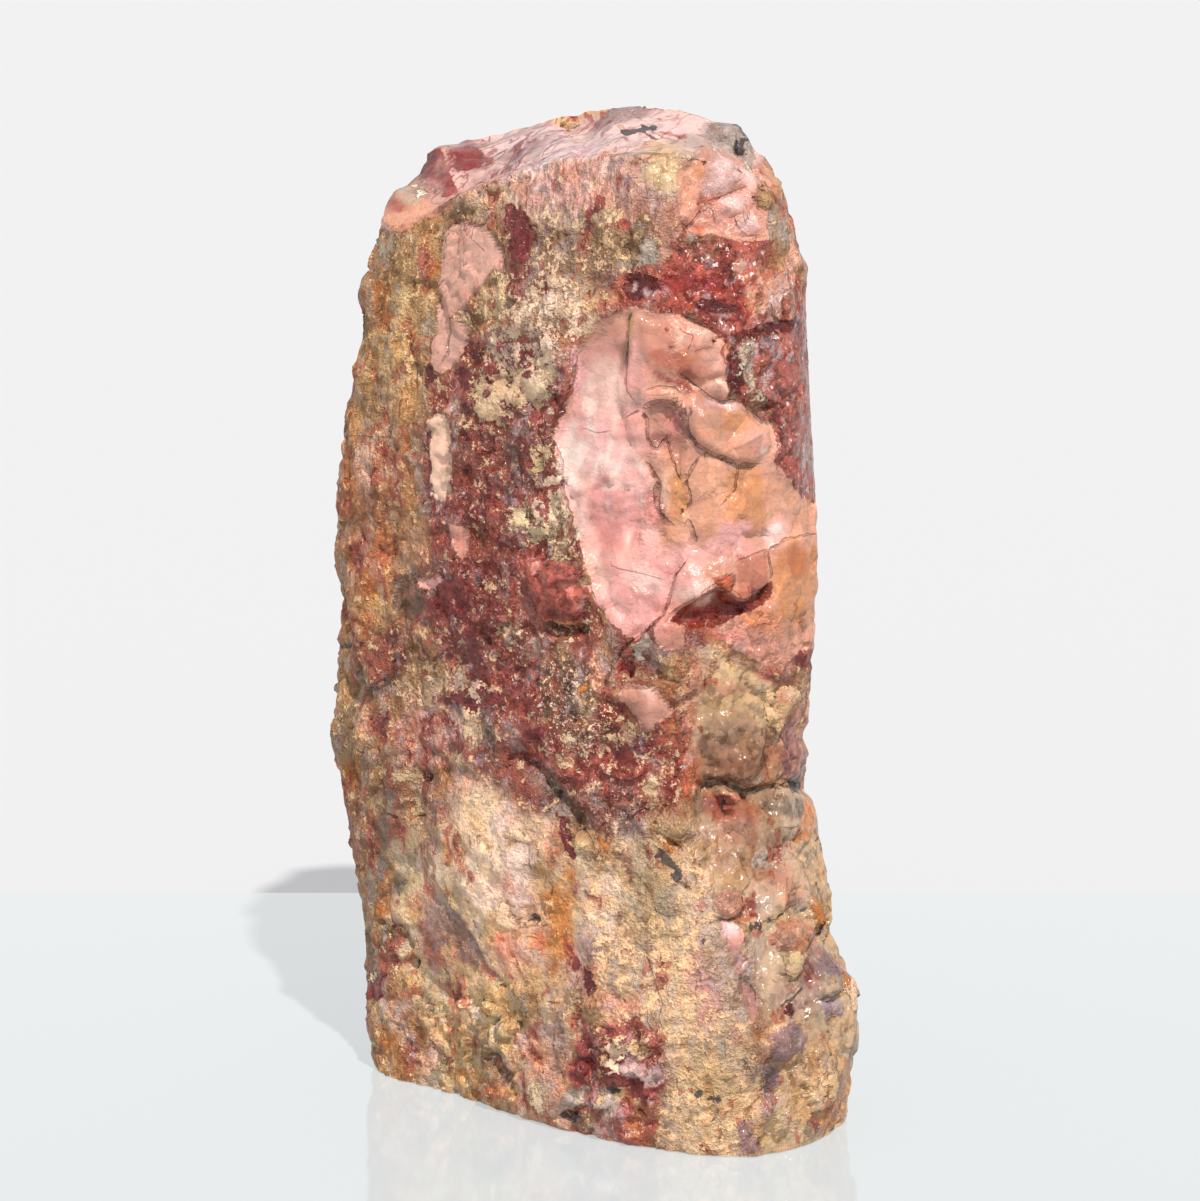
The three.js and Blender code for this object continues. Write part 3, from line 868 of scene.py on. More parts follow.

# %% Undercoat: rind on the upper left
# Two umber ovals are painted shade: the one at 462,212 below the glossy crest, and the one at 476,538 in the
# carved dark hollow.
RIND_MARKS = """
khaki 395,262 22,34; rust 383,308 17,24; umber 367,325 6,22 5; straw 407,328 9,34 -4; orange 383,268 9,6 20;
orange 433,268 7,6; grey 428,330 10,18; umber 462,212 14,9 -30; pink 440,199 20,6 -8; pink 490,182 26,6 -28;
olive 520,280 12,26 25; wine 478,312 9,14; rose 486,292 16,8; clay 502,290 6,16; clay 500,313 15,5; grey
492,338 9,8; umber 408,368 9,8; wine 353,389 7,11; oxblood 348,428 5,12; blush 368,462 10,24 8; brick
382,470 8,10; stone 392,460 8,22; copper 407,452 6,18; grey 416,456 6,16; rust 350,486 8,34; brown 380,508
20,24; copper 372,558 26,38; maroon 359,553 11,13; moss 343,596 7,30; honey 383,607 13,18; umber 416,598
22,22; smoke 425,452 6,50; rose 445,412 10,8; wine 433,375 9,11; wine 465,382 10,14; grey 462,440 8,40;
burnt 487,560 5,70 -2; umber 476,538 8,13 20; terracotta 431,565 7,15; wine 470,590 30,36; terracotta
348,352 6,20; khaki 375,400 12,40; straw 395,392 8,28
"""
wash(undercoat, RIND_MARKS, 1.0)

# %% Undercoat: left and middle of the lower half
LOWER_LEFT_MARKS = """
copper 360,628 20,14; umber 374,668 24,30; brown 350,668 10,28; maroon 390,655 12,28 8; salmon 414,634 13,9
20; ochre 430,650 12,12; wine 472,640 14,26; olive 500,630 14,11; wine 452,656 8,8; tan 445,682 18,20; cream
460,680 7,8; cream 475,688 6,8; buff 420,690 18,10; wine 470,699 32,8; red 492,686 8,8; brick 510,712 10,14;
moss 350,726 14,36; salmon 370,725 11,11; wine 390,725 6,12; olive 400,710 7,10; rose 435,736 36,32; mauve
436,743 8,9; maroon 456,750 7,12; clay 471,724 9,17; blush 452,730 13,10; umber 490,738 8,34 -14; buff
503,736 14,13; maroon 392,780 12,22; rust 360,790 11,30 -14; khaki 378,760 14,26; olive 395,815 8,16 -30;
umber 388,852 19,34; lilac 347,832 4,11; copper 358,862 9,23; sand 375,870 5,11; orange 390,896 11,25; soot
402,884 4,12; maroon 428,850 7,11 30; cream 436,868 7,17; orange 449,849 4,10; salmon 460,785 22,13; clay
457,762 9,9; mauve 442,810 13,10; cream 478,840 25,48; blush 503,820 14,20; rose 508,790 9,10; grey 421,785
9,9; sand 416,805 5,11; tan 412,776 10,5; stone 408,860 14,20 -30; terracotta 430,900 22,18 -35; mauve
440,925 24,22 -45; stone 455,900 10,26 -35; maroon 434,950 9,28 -22; rose 462,950 12,10; smoke 470,945 10,26
-30; blush 400,930 4,12 -14; maroon 382,975 17,26; wine 377,988 9,14; tan 412,982 13,10; rose 403,1008
16,11; brick 410,992 10,5; orange 390,1046 9,17; brown 374,1035 6,32 6; maroon 411,1052 7,24 -5; salmon
430,1056 10,18; umber 395,938 12,14; olive 372,938 6,18
"""
wash(undercoat, LOWER_LEFT_MARKS, 0.9)

# %% Undercoat: foot, cream slope and burgundy
FOOT_MARKS = """
khaki 467,1034 13,26; cream 458,1016 18,15; orange 458,1026 9,15; umber 494,1064 10,34 -20; rose 508,1068
8,14; copper 492,1092 24,10 18; tan 446,1006 10,12; khaki 520,1018 12,12; orange 470,1075 12,8; cream
490,905 22,40 -18; blush 487,895 13,16; honey 491,925 10,16; coral 509,948 8,15; blush 520,890 16,17; rose
508,884 7,9; orange 560,925 15,52 6; rust 552,902 6,8; sand 578,914 8,16; coral 540,938 7,9; salmon 520,955
13,15; rust 555,968 6,9; honey 530,980 22,14 15; mauve 579,912 4,24; cream 610,905 24,40; olive 545,870
14,10; rose 553,840 8,32; wine 568,842 6,20 -12; orange 605,846 6,11 -14; sand 612,862 9,20 -18; clay
582,850 12,8; stone 586,866 10,9; terracotta 528,840 12,10; blush 518,858 15,14; rose 585,968 16,32; lilac
590,952 12,14; salmon 618,1004 20,14; stone 624,978 15,20; khaki 536,1014 26,8 10; rose 545,1080 20,34; sand
538,1096 8,15; terracotta 545,1105 14,14; copper 648,1122 16,22; red 653,1130 9,10; olive 590,1120 12,10;
silver 576,1100 13,10; silver 612,1100 9,16; smoke 560,1040 8,30; sand 630,1090 14,10 20; buff 575,1030 8,18
"""
wash(undercoat, FOOT_MARKS, 0.9)

# %% Undercoat: middle, between the bowl and the groove
# The umber strip at 566,630 is painted shadow under the scalloped lump's overhang.
MIDDLE_MARKS = """
stone 560,300 16,22; brown 606,280 16,18; khaki 630,238 10,13; rose 612,312 13,16; sand 611,213 8,9; pink
578,352 12,12; smoke 516,440 12,34; stone 566,530 12,28; lilac 538,482 10,18; khaki 600,608 7,8; grey
527,640 13,20; silver 525,636 12,15; umber 566,630 20,5; orange 570,622 16,4; rose 566,668 24,28; smoke
567,670 13,20; salmon 598,668 8,20; khaki 550,715 12,16; brick 522,716 18,18; wine 535,732 12,8; grey
540,722 6,8; khaki 582,740 18,22; buff 632,728 14,14; maroon 605,755 30,20; red 562,764 22,8 25; clay
568,762 8,8; smoke 545,780 26,20 45; umber 572,810 13,34 -33; maroon 528,796 20,13 25; wine 546,806 8,7;
smoke 610,800 30,24; grey 610,800 11,11; honey 660,850 24,36; plum 634,824 16,11; beige 638,862 24,26;
terracotta 627,862 5,13 -10; orange 672,846 6,6; brick 666,775 13,26; brown 657,658 9,9; clay 674,674 8,8;
copper 670,715 9,28; rose 684,712 8,48; clay 652,788 9,15; coral 684,753 9,9; coral 668,782 10,16; umber
597,848 6,12 -10; wine 640,745 12,16; brick 575,380 4,24; wine 524,460 5,22; umber 568,690 26,40; brown
588,728 22,20; olive 560,655 18,14; taupe 590,700 12,16; maroon 606,768 26,18
"""
wash(undercoat, MIDDLE_MARKS, 0.8)

# %% Undercoat: red band, right edge and chalcedony
RIGHT_MARKS = """
silver 704,655 12,9; tan 674,666 12,12; brown 700,250 22,16; brick 745,250 22,12; stone 735,268 7,8; beige
762,268 9,9; blood 700,298 46,32; terracotta 772,300 26,30; red 690,290 14,14; umber 697,324 20,7 18;
oxblood 760,330 32,10 -15; oxblood 735,375 11,26; stone 745,352 5,14 25; stone 752,380 5,15 -15; khaki
768,408 14,10; red 782,385 24,28; rose 809,378 6,24; brick 770,360 12,7; rose 790,220 12,22; pink 762,183
8,20 15; grey 768,213 5,20 -10; stone 781,234 10,10; pink 797,255 7,16; brick 640,288 26,20; brick 662,300
16,26; terracotta 640,322 8,12; red 788,340 20,12; maroon 806,350 10,30; maroon 808,655 10,16; wine 801,661
7,7; brick 775,674 18,10 15; clay 740,672 34,9 30; khaki 688,662 9,9; rose 694,690 9,30; stone 750,685 24,14
20; clay 745,704 22,9; salmon 803,712 8,24; terracotta 790,755 16,26; maroon 790,750 12,24; lilac 804,765
5,20; copper 765,752 5,30; khaki 733,722 28,14; honey 745,760 20,18; rose 728,754 9,11; wine 706,744 7,15;
coral 690,775 11,26; pink 688,758 7,9; wine 686,736 6,8; coral 732,808 28,16; red 730,808 8,9; brick 750,822
7,9; clay 701,828 16,14; khaki 772,808 9,13; slate 792,808 9,9; cream 788,822 9,9; apricot 811,815 12,16;
orange 802,835 8,8; honey 725,860 36,26; moss 685,842 7,9; silver 772,855 10,13; clay 797,862 9,9; brown
768,876 8,9; terracotta 797,874 18,12; honey 822,862 7,24; cream 710,880 11,11; biscuit 758,900 22,20;
salmon 796,896 17,10; clay 772,965 10,34; stone 757,942 9,20; copper 733,1032 6,9; biscuit 808,978 6,14;
smoke 819,974 6,16; plum 832,968 10,14; orange 844,976 8,16; smoke 772,1078 8,22; lilac 768,1108 6,9; smoke
744,1126 10,12; honey 815,1085 38,44; apricot 828,1112 15,18; orange 846,1076 10,18 15; clay 808,1080 8,20;
rose 700,985 20,50; buff 716,945 15,30; sand 712,1100 38,56; sand 672,960 14,30; sand 685,1010 12,26; grey
719,1047 7,9; sand 770,1130 18,16; biscuit 800,1000 26,16; terracotta 812,940 10,20; maroon 794,470 26,30
-20; mauve 808,452 7,14
"""
wash(undercoat, RIGHT_MARKS, 0.8)

# %% Undercoat: the glassy dome and the knobs below the seam
GLASS_MARKS = """
beige 712,698 16,10; terracotta 730,688 14,7; beige 744,702 18,11; taupe 716,721 14,12; taupe 738,722 18,12;
beige 758,716 7,14; taupe 710,742 11,14; taupe 731,745 11,14; ochre 752,745 10,16; brown 722,766 18,9; burnt
743,766 14,9; brown 761,766 7,10; salmon 786,700 13,14; beige 778,727 8,14; roan 794,752 10,26; oxblood
722,779 22,5; brown 744,783 12,5; brown 705,806 8,12; brick 724,806 12,11; copper 747,806 14,11; taupe
768,802 9,8; grey 788,806 12,9; biscuit 706,832 11,12; terracotta 731,831 14,12; terracotta 751,836 11,10;
taupe 771,840 11,12; biscuit 790,852 11,12; buff 801,872 10,11; biscuit 725,856 14,12; ochre 751,865 13,12;
terracotta 780,880 14,9; taupe 725,896 14,12; grey 760,906 14,10; grey 801,906 9,9; copper 772,764 6,18
"""
wash(undercoat, GLASS_MARKS, 1.6, 0.5, 0.9, 0.2)

# %% Undercoat: the broken top
TOP_MARKS = """
straw waxy lumps; silver 655,168 10,8; lilac 500,160 30,4 -28; mauve 455,150 18,8 -20; blush 492,150 24,12
-15; blush 530,138 30,12 -15; maroon 530,150 24,4 -25; lilac 560,143 56,5 -24; blush 600,140 60,14 -8; mauve
620,114 28,7 -10; sand 665,150 24,10; straw 660,176 20,18; salmon 612,156 14,5; grey 705,140 28,10; maroon
521,152 12,4 -25
"""
wash(undercoat, TOP_MARKS, 0.8)
print("undercoat painted, mean:", np.round(undercoat.reshape(-1, 3).mean(0), 3))

# %% Opal
opal_field = chance_field(34, 91, 0.5)
opal_tone = np.ones_like(undercoat) * PAINT["rose"]
opal_tone += (PAINT["salmon"] - opal_tone) * smooth_step(lumps(SMOOTH_NET, 9, 93), -0.3, 0.5)[..., None]
OPAL_AREAS = """
salmon opal face; salmon crown; pink pink patch; cream pale lens; rose foot lobe; rose peach drop; salmon
salmon streak; rose streak tail; rose left crest; pink pale chip; rose rose tongue
"""
patch(opal_tone, opal_field, OPAL_AREAS, 0.3)
OPAL_TONES = """
candy 575,345 640,335 660,420 655,470 668,540 680,570 662,620 640,642 600,610 575,500 555,435 575,400; pink
604,342 24,18; pale 606,392 22,34; rose 600,326 20,10; candy 612,420 18,18; blush 578,462 16,24; pale
571,440 6,12; candy 612,468 26,34; sugar 598,500 12,24; sugar 618,520 24,26; candy 632,512 6,24; sugar
628,541 7,8; candy 653,535 12,20; rose 586,487 3,12; pale 646,578 22,12 20; candy 642,626 17,9; umber
627,345 2.5,24 2; honey 629,328 3,6; mauve 641,350 4,26; candy 652,350 6,22; brick 649,345 2.5,17 -8;
oxblood 652,358 3,4; copper 632,424 6,6; mauve 638,390 5,12; salmon 664,384 20,14; rose recess; sugar
672,426 10,12; candy 634,432 8,14; peach 672,500 17,44; apricot 678,496 8,22; flesh 664,488 12,18; peach
712,500 22,44; salmon upper lobe; apricot 690,366 16,10 30; flesh 712,350 14,20; peach main lobe; apricot
726,422 20,12; salmon 757,442 14,14; salmon 704,410 12,8; apricot 746,500 20,38; candy 735,532 12,10; peach
772,492 8,28; candy 705,556 36,10 -10; candy 720,545 16,7; apricot 796,585 24,44; copper 795,560 16,16;
terracotta 752,576 16,22; candy 742,556 12,7; peach 800,500 14,32; pale 692,590 12,7 -18; apricot 793,612
22,12; pale pink block; russet 704,632 16,10; apricot 762,620 18,10; sugar 735,636 10,7; lilac 741,645 6,6;
salmon 764,645 16,14; peach 782,626 18,10; maroon 720,630 3,10; maroon 706,640 6,10; candy 684,566 22,26 10;
pale 690,590 16,7 -20; pale 650,692 5,9; blush 725,172 16,14; pale 748,176 11,12; peach 688,184 9,18; coral
700,230 12,5 -35; pale 716,188 12,8; blush 750,222 11,11; rose 722,228 10,9; pale 731,927 8,9 35; mauve
740,958 7,10; salmon 766,218 8,24 -10; coral 706,208 14,4 -35; maroon 398,207 8,7; silver 410,196 8,7;
apricot 700,172 9,10; blush 735,205 9,9
"""
wash(opal_tone, OPAL_TONES, 1.0, 0.4, 0.9)
# Besides the facets' own colours, the thin pale strokes are painted highlights along the bowl's ridges, in
# part also the opal's own paler streaks; the lines at 618,472, 618,486 and 641,500 are highlights only.
OPAL_FACETS_AND_HIGHLIGHTS = """
sugar 594,498 604,488 618,486 628,492 636,492 638,520 634,546 618,554 602,545 592,524; sugar 641,494 652,490
663,504 664,518 654,524 643,518; pale 641,500 1.5,8; pale 592,425 2,16 -15; pale 597,468 2,14 10; pale
584,520 2,18; candy 591,536 2,16; pale 600,562 2,22 -12; candy 609,588 2,24 -14; pale 617,600 2,18 -16;
candy 579,500 2,20; pale 612,440 2,18 12; candy 622,448 2,16 14; pale 618,472 1.5,9 18; pale 618,486 10,1.5
-10; pale 628,540 1.5,9 8; pale 610,506 1.5,9 -10; candy 622,560 1.5,26 6; pink 596,575 3,18 -12; pale
606,580 2,20 -10; roan 641,413 650,403 664,402 676,407 685,419 691,433 694,446 688,442 679,427 670,413
660,408 650,408 644,414; roan 646,430 655,432 668,438 674,452 664,450 650,446; russet 650,352 664,348
680,354 696,364 702,376 690,379 674,371 656,364; flesh 674,331 700,330 718,340 722,360 714,368 704,352
690,346 676,346; salmon 704,352 714,370 700,376 690,366; flesh 706,384 718,379 730,386 727,396 713,399;
maroon 652,368 668,376 684,380 698,392 690,394 676,386 660,380; salmon 640,455 648,450 656,462 664,478
660,492 652,480; apricot 668,478 680,474 688,488 689,506 682,512 670,500; blush 776,531 8,6; roan 662,512
5,16 -18; russet 738,556 766,552 770,580 756,590 736,598 733,575; blush 640,462 1.5,12 -30; peach 706,420
14,10; blush 730,405 18,2 6; blush 762,452 6,4; coral 724,584 7,5 30
"""
wash(opal_tone, OPAL_FACETS_AND_HIGHLIGHTS, 0.35, 0.15, 0.9)

# %% Dark glossy minerals
mineral_field = chance_field(13, 94, 0.75, (1, 1, 1.5))
mineral_tone = np.ones_like(undercoat) * PAINT["wine"]
# The silver dots at 638,652 and 648,643 and the mauve dots at 634,286 and 647,291 are painted highlights.
MINERALS_AND_GLINTS = """
wine maroon cap; maroon tall maroon; ruby dark crest; ruby glossy crest; mauve mauve ridge; grey clear
crystal; grey grey corner; wine 455,600 24,20; umber 412,602 16,16; wine 478,665 9,44; wine 472,698 28,5;
wine 390,724 4,10; oxblood 431,374 6,9; wine 465,380 7,11; wine 524,458 4,18; maroon scalloped lump; wine
588,1058 9,26 10; wine 613,1066 13,24 -18; wine 640,1080 24,14 15; oxblood 594,984 5,16 -12; wine 578,962
4,9; wine 378,985 11,16; oxblood 569,840 4,17 -14; blood 628,667 9,10; oxblood 632,672 4,6; wine 801,661
7,6; wine 785,742 5,8; oxblood 792,1012 4,5; oxblood 626,278 636,270 648,274 660,284 655,294 641,302 631,299
620,290; oxblood 736,378 9,20; blood 690,282 30,12 -8; oxblood 716,306 20,8 10; oxblood 778,327 24,6 -8;
brick 785,372 13,13; mauve 631,1068 10,8; mauve 652,1074 12,10 25; plum mauve lens; lilac lilac lens; grey
573,1100 9,8; grey 609,1100 7,10; oxblood 818,926 4,6; mauve 647,291 3,6 -30; silver 638,652 5,8; silver
648,643 5,4; wine 536,734 10,6; wine 622,752 12,10; smoke 516,745 9,8; silver 763,862 8,9; terracotta
pebble; wine 512,246 4,7; brick 625,223 3,5; terracotta brown plate; plum 771,1082 6,14; smoke 744,1128 6,8;
smoke taupe lens; plum 831,968 8,8; mauve 634,286 3,6 20
"""
patch(mineral_tone, mineral_field, MINERALS_AND_GLINTS, 0.5)
patch(mineral_tone, mineral_field, "ember pocket", 0.1, 2.5)
# In the pocket the wine strokes make it darker towards the bottom, and the blush and lilac strokes under its
# lip are a painted reflection. On the scalloped lump the rose band at 552,566 is painted sheen, and the rose
# and pale strokes at its right edge are painted glints.
MINERAL_TONES_AND_SHEEN = """
wine 722,613 26,6 -6; wine 700,618 26,4; wine 745,610 14,4 -22; copper 800,944 16,7; lilac 801,1036 7,10;
blush 706,602 12,6 -24; rose 583,590 3,14 -8; rose 552,566 20,3 14; salmon 759,590 11,5 -36; pale 578,584
4,3; red 700,268 12,7; pink 445,172 5,8; pink 436,186 9,4 30; lilac 704,597 8,2 -25; oxblood 556,612 26,8;
ruby 560,582 18,6 12; brick 560,592 32,30; wine 542,600 8,10; oxblood 570,613 18,4 8; pale 590,603 2,5;
mauve 548,572 8,2.5 20
"""
wash(mineral_tone, MINERAL_TONES_AND_SHEEN, 0.5, 0.3)

# %% Pale crust and small spots
crust_field = chance_field(10, 97, 0.85, (1, 1, 1.3))
crust_tone = np.ones_like(undercoat) * PAINT["clay"]
# The ivory dot at 419,192 is a painted highlight on the left crest, laid in the crust layer.
CRUSTS_AND_HIGHLIGHT = """
clay clay sheet; clay 552,342 8,14; clay 535,300 5,10; clay 566,300 4,12; clay 520,335 8,4; clay 534,385
14,10; clay 521,519 9,12; clay 541,531 14,4; ochre ochre knob; cream clay splash; tan orange crumb; orange
ember; sand pale foot lens; clay 472,724 7,14; clay 458,762 6,6; cream 461,680 5,6; cream 475,688 4,6; clay
416,805 4,9; clay 411,777 8,3; cream 541,1095 6,10; clay 611,214 7,8; clay 609,740 6,4; clay 632,727 5,4 30;
clay 572,738 4,5; clay 586,752 3,5; clay 567,762 4,4; clay 650,786 6,10; tan 602,1056 3,24 -4; cream 375,978
3,4; ivory 419,192 3,2; silver 381,248 2,8 -20; stone 753,388 2.5,11 -12; stone 745,360 2,9 25; stone
760,404 5,2.5 30; orange 604,845 4,9 -14; orange 672,846 4,4; orange 586,690 4,4; sand 504,292 4,13; clay
500,313 13,4; clay 484,382 6,4; clay 497,420 7,6; clay 548,358 9,5; clay 543,452 8,5; straw 470,318 4,3
"""
patch(crust_tone, crust_field, CRUSTS_AND_HIGHLIGHT, 0.45)
CHIPS = """
tan orange bead; coral orange wedge; sand lower knob; cream edge lens; cream white chip; cream cream
squiggle; honey 588,584 3,2; straw 543,468 7,3 -10; clay 516,515 4,3; apricot 566,622 19,2.5 10; cream
589,622 4,4; sand arrowhead; cream 556,480 13,5 -10; clay 555,370 6,8
"""
patch(crust_tone, crust_field, CHIPS, 0.1, 3.0)
HOLES = """
491,391 4,5; 505,406 3,4; 521,388 2,5; 531,374 4,3; 478,404 2,4; 513,420 3,3; 540,366 3,2; 551,349 3,4;
546,391 3,3; 499,375 3,2
"""
for hole in HOLES.split(";"):
    crust_field = np.minimum(crust_field, np.where(ON_FACE, -3 * shape(hole, 0.4), crust_field))
CRUST_TONES = """
peach 784,698 13,8; cream 792,696 6,6; clay 584,848 9,7; cream 552,336 7,8
"""
wash(crust_tone, CRUST_TONES, 0.6, 0.3)

# %% Black stains and painted shade in pits
soot_field = chance_field(7, 99, 1.15)
# Real black stains, such as the ink stain, the ink mark and parts of the black seam, and painted shade: the
# black dots in the carved pits, notches and cave at 739,150, 768,407, 413,965, 547,802, 687,508, 426,776,
# 569,1116, 344,645, 699,1093 and 712,1097.
STAINS_AND_PIT_SHADE = """
soot ink stain; soot 660,822 3,8; soot 739,150 4,6; soot 768,407 3,5; soot 413,965 5,6; soot 547,802 3,4;
soot 687,508 2,3; soot 699,1093 4,3; soot 712,1097 5,3 20; soot 426,776 3,6; soot 749,790 6,2 5; soot
703,790 2.5,4 20; soot 803,786 7,7; soot 569,1116 7,3 10; soot 344,645 7,2; soot 700,935 3,4; soot 617,1090
3,4; soot 819,928 3,4; soot 532,921 5,1.5 -5; soot 763,923 6,3 -10
"""
patch(np.zeros_like(undercoat), soot_field, STAINS_AND_PIT_SHADE, 0.4)
patch(np.zeros_like(undercoat), soot_field, "soot ink mark; soot 648,133 8,1.2 28", 0.1, 2.5)
print("layers: opal", int((opal_field > 0).sum()), "mineral", int((mineral_field > 0).sum()),
      "crust", int((crust_field > 0).sum()), "soot", int((soot_field > 0).sum()), "points")

# %% Crack lines and painted shadow lines for the shader
# A crack is thinner than the net, so it is kept as the signed distance to its middle, which the
# surface carries exactly, with its half width and its darkness. A few lines are painted shadow, not
# cracks: the scallop foot under the lump's overhang, the ledge pit line under its ledge, and the
# slip groove and the long groove in their grooves.
crack_and_shadow_side = np.full(HEIGHT.shape, -FAR)
crack_and_shadow_width = np.zeros_like(HEIGHT)
crack_and_shadow_dark = np.zeros_like(HEIGHT)
next_crack = np.full(HEIGHT.shape, -FAR)
CRACKS_AND_SHADOW_LINES = measures("""
bowl edge: 0.16 0.5; bowl foot: 0.28 1.0; bowl crack: 0.24 0.8; left hairline: 0.1 0.4; recess rim: 0.5 0.9;
recess foot: 0.24 0.85; brow: 0.2 0.6; red valley: 0.3 0.6; lobe crack: 0.16 0.8; arm edge: 0.62 0.85; arm
line: 0.34 0.85; arm line low: 0.4 0.7; side crack: 0.15 0.6; low hairline: 0.11 0.6; orange step: 0.18 0.6;
upright crack: 0.18 0.7; wedge line: 0.15 0.6; pocket lip: 0.25 0.8; crown crack: 0.22 0.75; crown crack
low: 0.2 0.7; crown crack side: 0.14 0.5; crown twig: 0.12 0.5; corner crack: 0.3 0.9; ink crack: 0.16 0.6;
brown seam: 0.35 0.6; dark band: 0.3 0.5; patch crack one: 0.12 0.5; patch crack two: 0.14 0.6; patch crack
three: 0.12 0.5; patch crack four: 0.14 0.6; rind red line: 0.16 0.4; rind red upright: 0.14 0.4; clay
crack: 0.25 0.7; scallop top: 0.3 0.8; scallop foot: 0.5 0.9; left nick: 0.3 0.9; slip crack: 0.3 0.8; ledge
pit line: 0.3 1.0; slip edge: 0.2 0.5; long groove: 0.3 0.5; maroon shelf: 0.3 0.7; vein: 0.4 0.8; ink crack
low: 0.3 1.0; black seam: 0.5 0.95; dome line: 0.16 0.5; arrowhead edge: 0.28 0.7; arrowhead left: 0.14 0.4;
block crack: 0.16 0.7; left mark: 0.2 0.7; olive line: 0.25 0.6; pebble foot: 0.2 0.8; nest crack: 0.2 0.8;
plate crack: 0.28 0.8; streak edge: 0.2 0.8; orange hole: 0.25 0.9; orange arc: 0.18 0.6; orange line: 0.16
0.6; tan crack: 0.16 0.7; tan crack left: 0.14 0.6; tan crack long: 0.16 0.6; tan crack low: 0.14 0.5; small
crack: 0.18 0.8; black crack: 0.35 1.0; foot crack: 0.3 0.9; foot crack two: 0.2 0.8; foot crack three: 0.25
0.9; foot crack four: 0.5 0.8; foot crack five: 0.25 0.7; rose crack: 0.16 0.8; foot slot: 0.3 0.9; foot
cave: 0.4 1.0; sand arc: 0.25 0.6; sand crack: 0.25 0.7; sand crack two: 0.25 0.7; slip groove: 0.3 0.7;
seam low: 0.4 0.5
""")
for name, (width, dark) in CRACKS_AND_SHADOW_LINES.items():
    distance, along = beside(LINES[name])
    closer = (np.abs(distance) < np.abs(crack_and_shadow_side)) & ON_FACE
    near = 1 - smooth_step(np.abs(distance), 0.75, 1.1)
    farther = np.where(closer, np.abs(crack_and_shadow_side), np.abs(distance))
    next_crack = np.minimum(next_crack, farther)
    crack_and_shadow_side = np.where(closer, distance, crack_and_shadow_side)
    crack_and_shadow_width = np.where(closer, width * taper(along, 0.12) * near, crack_and_shadow_width)
    crack_and_shadow_dark = np.where(closer, dark, crack_and_shadow_dark)
crack_and_shadow_width *= smooth_step(next_crack - np.abs(crack_and_shadow_side), 0.05, 0.5)
print(len(CRACKS_AND_SHADOW_LINES), "cracks drawn")

# %% Finish of each region
FINISH_NAMES = ("gloss", "sparkle", "facet", "veins", "red", "clay", "olive", "grain", "warm")
finish = {name: np.zeros_like(HEIGHT) for name in FINISH_NAMES}
FINISHES = [  # a region, then its share of each finish above
    (np.ones_like(top), 0.36, 0.25, 0.20, 0.1, 0.38, 0.40, 0.35, 0.50, 0.5),
    (top, 0.78, 0.10, 0.30, 0.4, 0.05, 0.00, 0.00, 0.03, 0.2),
    (maroon, 0.78, 0.80, 0.25, 0.2, 0.75, 0.45, 0.15, 0.50, 0.25),
    (red, 0.86, 1.00, 0.35, 0.3, 0.60, 0.08, 0.15, 0.40, 0.3),
    (glassy, 0.90, 0.45, 1.00, 0.4, 0.30, 0.02, 0.25, 0.06, 0.4),
    (sandy, 0.28, 0.20, 0.20, 0.1, 0.20, 0.74, 0.22, 0.48, 0.9),
    (cream, 0.42, 0.25, 0.20, 0.3, 0.30, 0.30, 0.10, 0.32, 0.6),
    (slip, 0.48, 0.20, 0.25, 0.2, 0.28, 0.15, 0.30, 0.32, 0.5),
    (foot, 0.60, 0.50, 0.35, 0.2, 0.34, 0.26, 0.18, 0.34, 0.4),
    (bowl, 0.86, 0.05, 0.20, 0.10, 0.05, 0.00, 0.00, 0.05, 0.2),
    (plates, 0.80, 0.15, 0.55, 0.15, 0.05, 0.00, 0.00, 0.08, 0.4),
    (smooth_step(mineral_field, -0.3, 0.6), 0.82, 0.50, 0.35, 0.2, 0.6, 0.1, 0.1, 0.3, 0.3),
    (smooth_step(opal_field, -0.3, 0.6) * (1 - opal), 0.74, 0.05, 0.35, 0.6, 0.1, 0.0, 0.0, 0.06, 0.3),
    (crown, 0.82, 0.15, 1.00, 0.45, 0.10, 0.00, 0.00, 0.20, 0.4),
    (rim, 0.84, 0.15, 0.55, 0.5, 0.40, 0.00, 0.00, 0.15, 0.3),
    (smooth_step(crust_field, -0.3, 0.6), 0.25, 0.05, 0.1, 0.1, 0.1, 0.6, 0.2, 0.5, 0.5),
]
for region, *amounts in FINISHES:
    for name, amount in zip(FINISH_NAMES, amounts):
        finish[name] += (amount - finish[name]) * region
finish["streak"] = 0.35 * rind + 0.25 * slip
finish["flow"] = np.clip(top - rim, 0, 1) * (1 - 0.5 * smooth_step(ACROSS, 590, 660) * DRAWN)
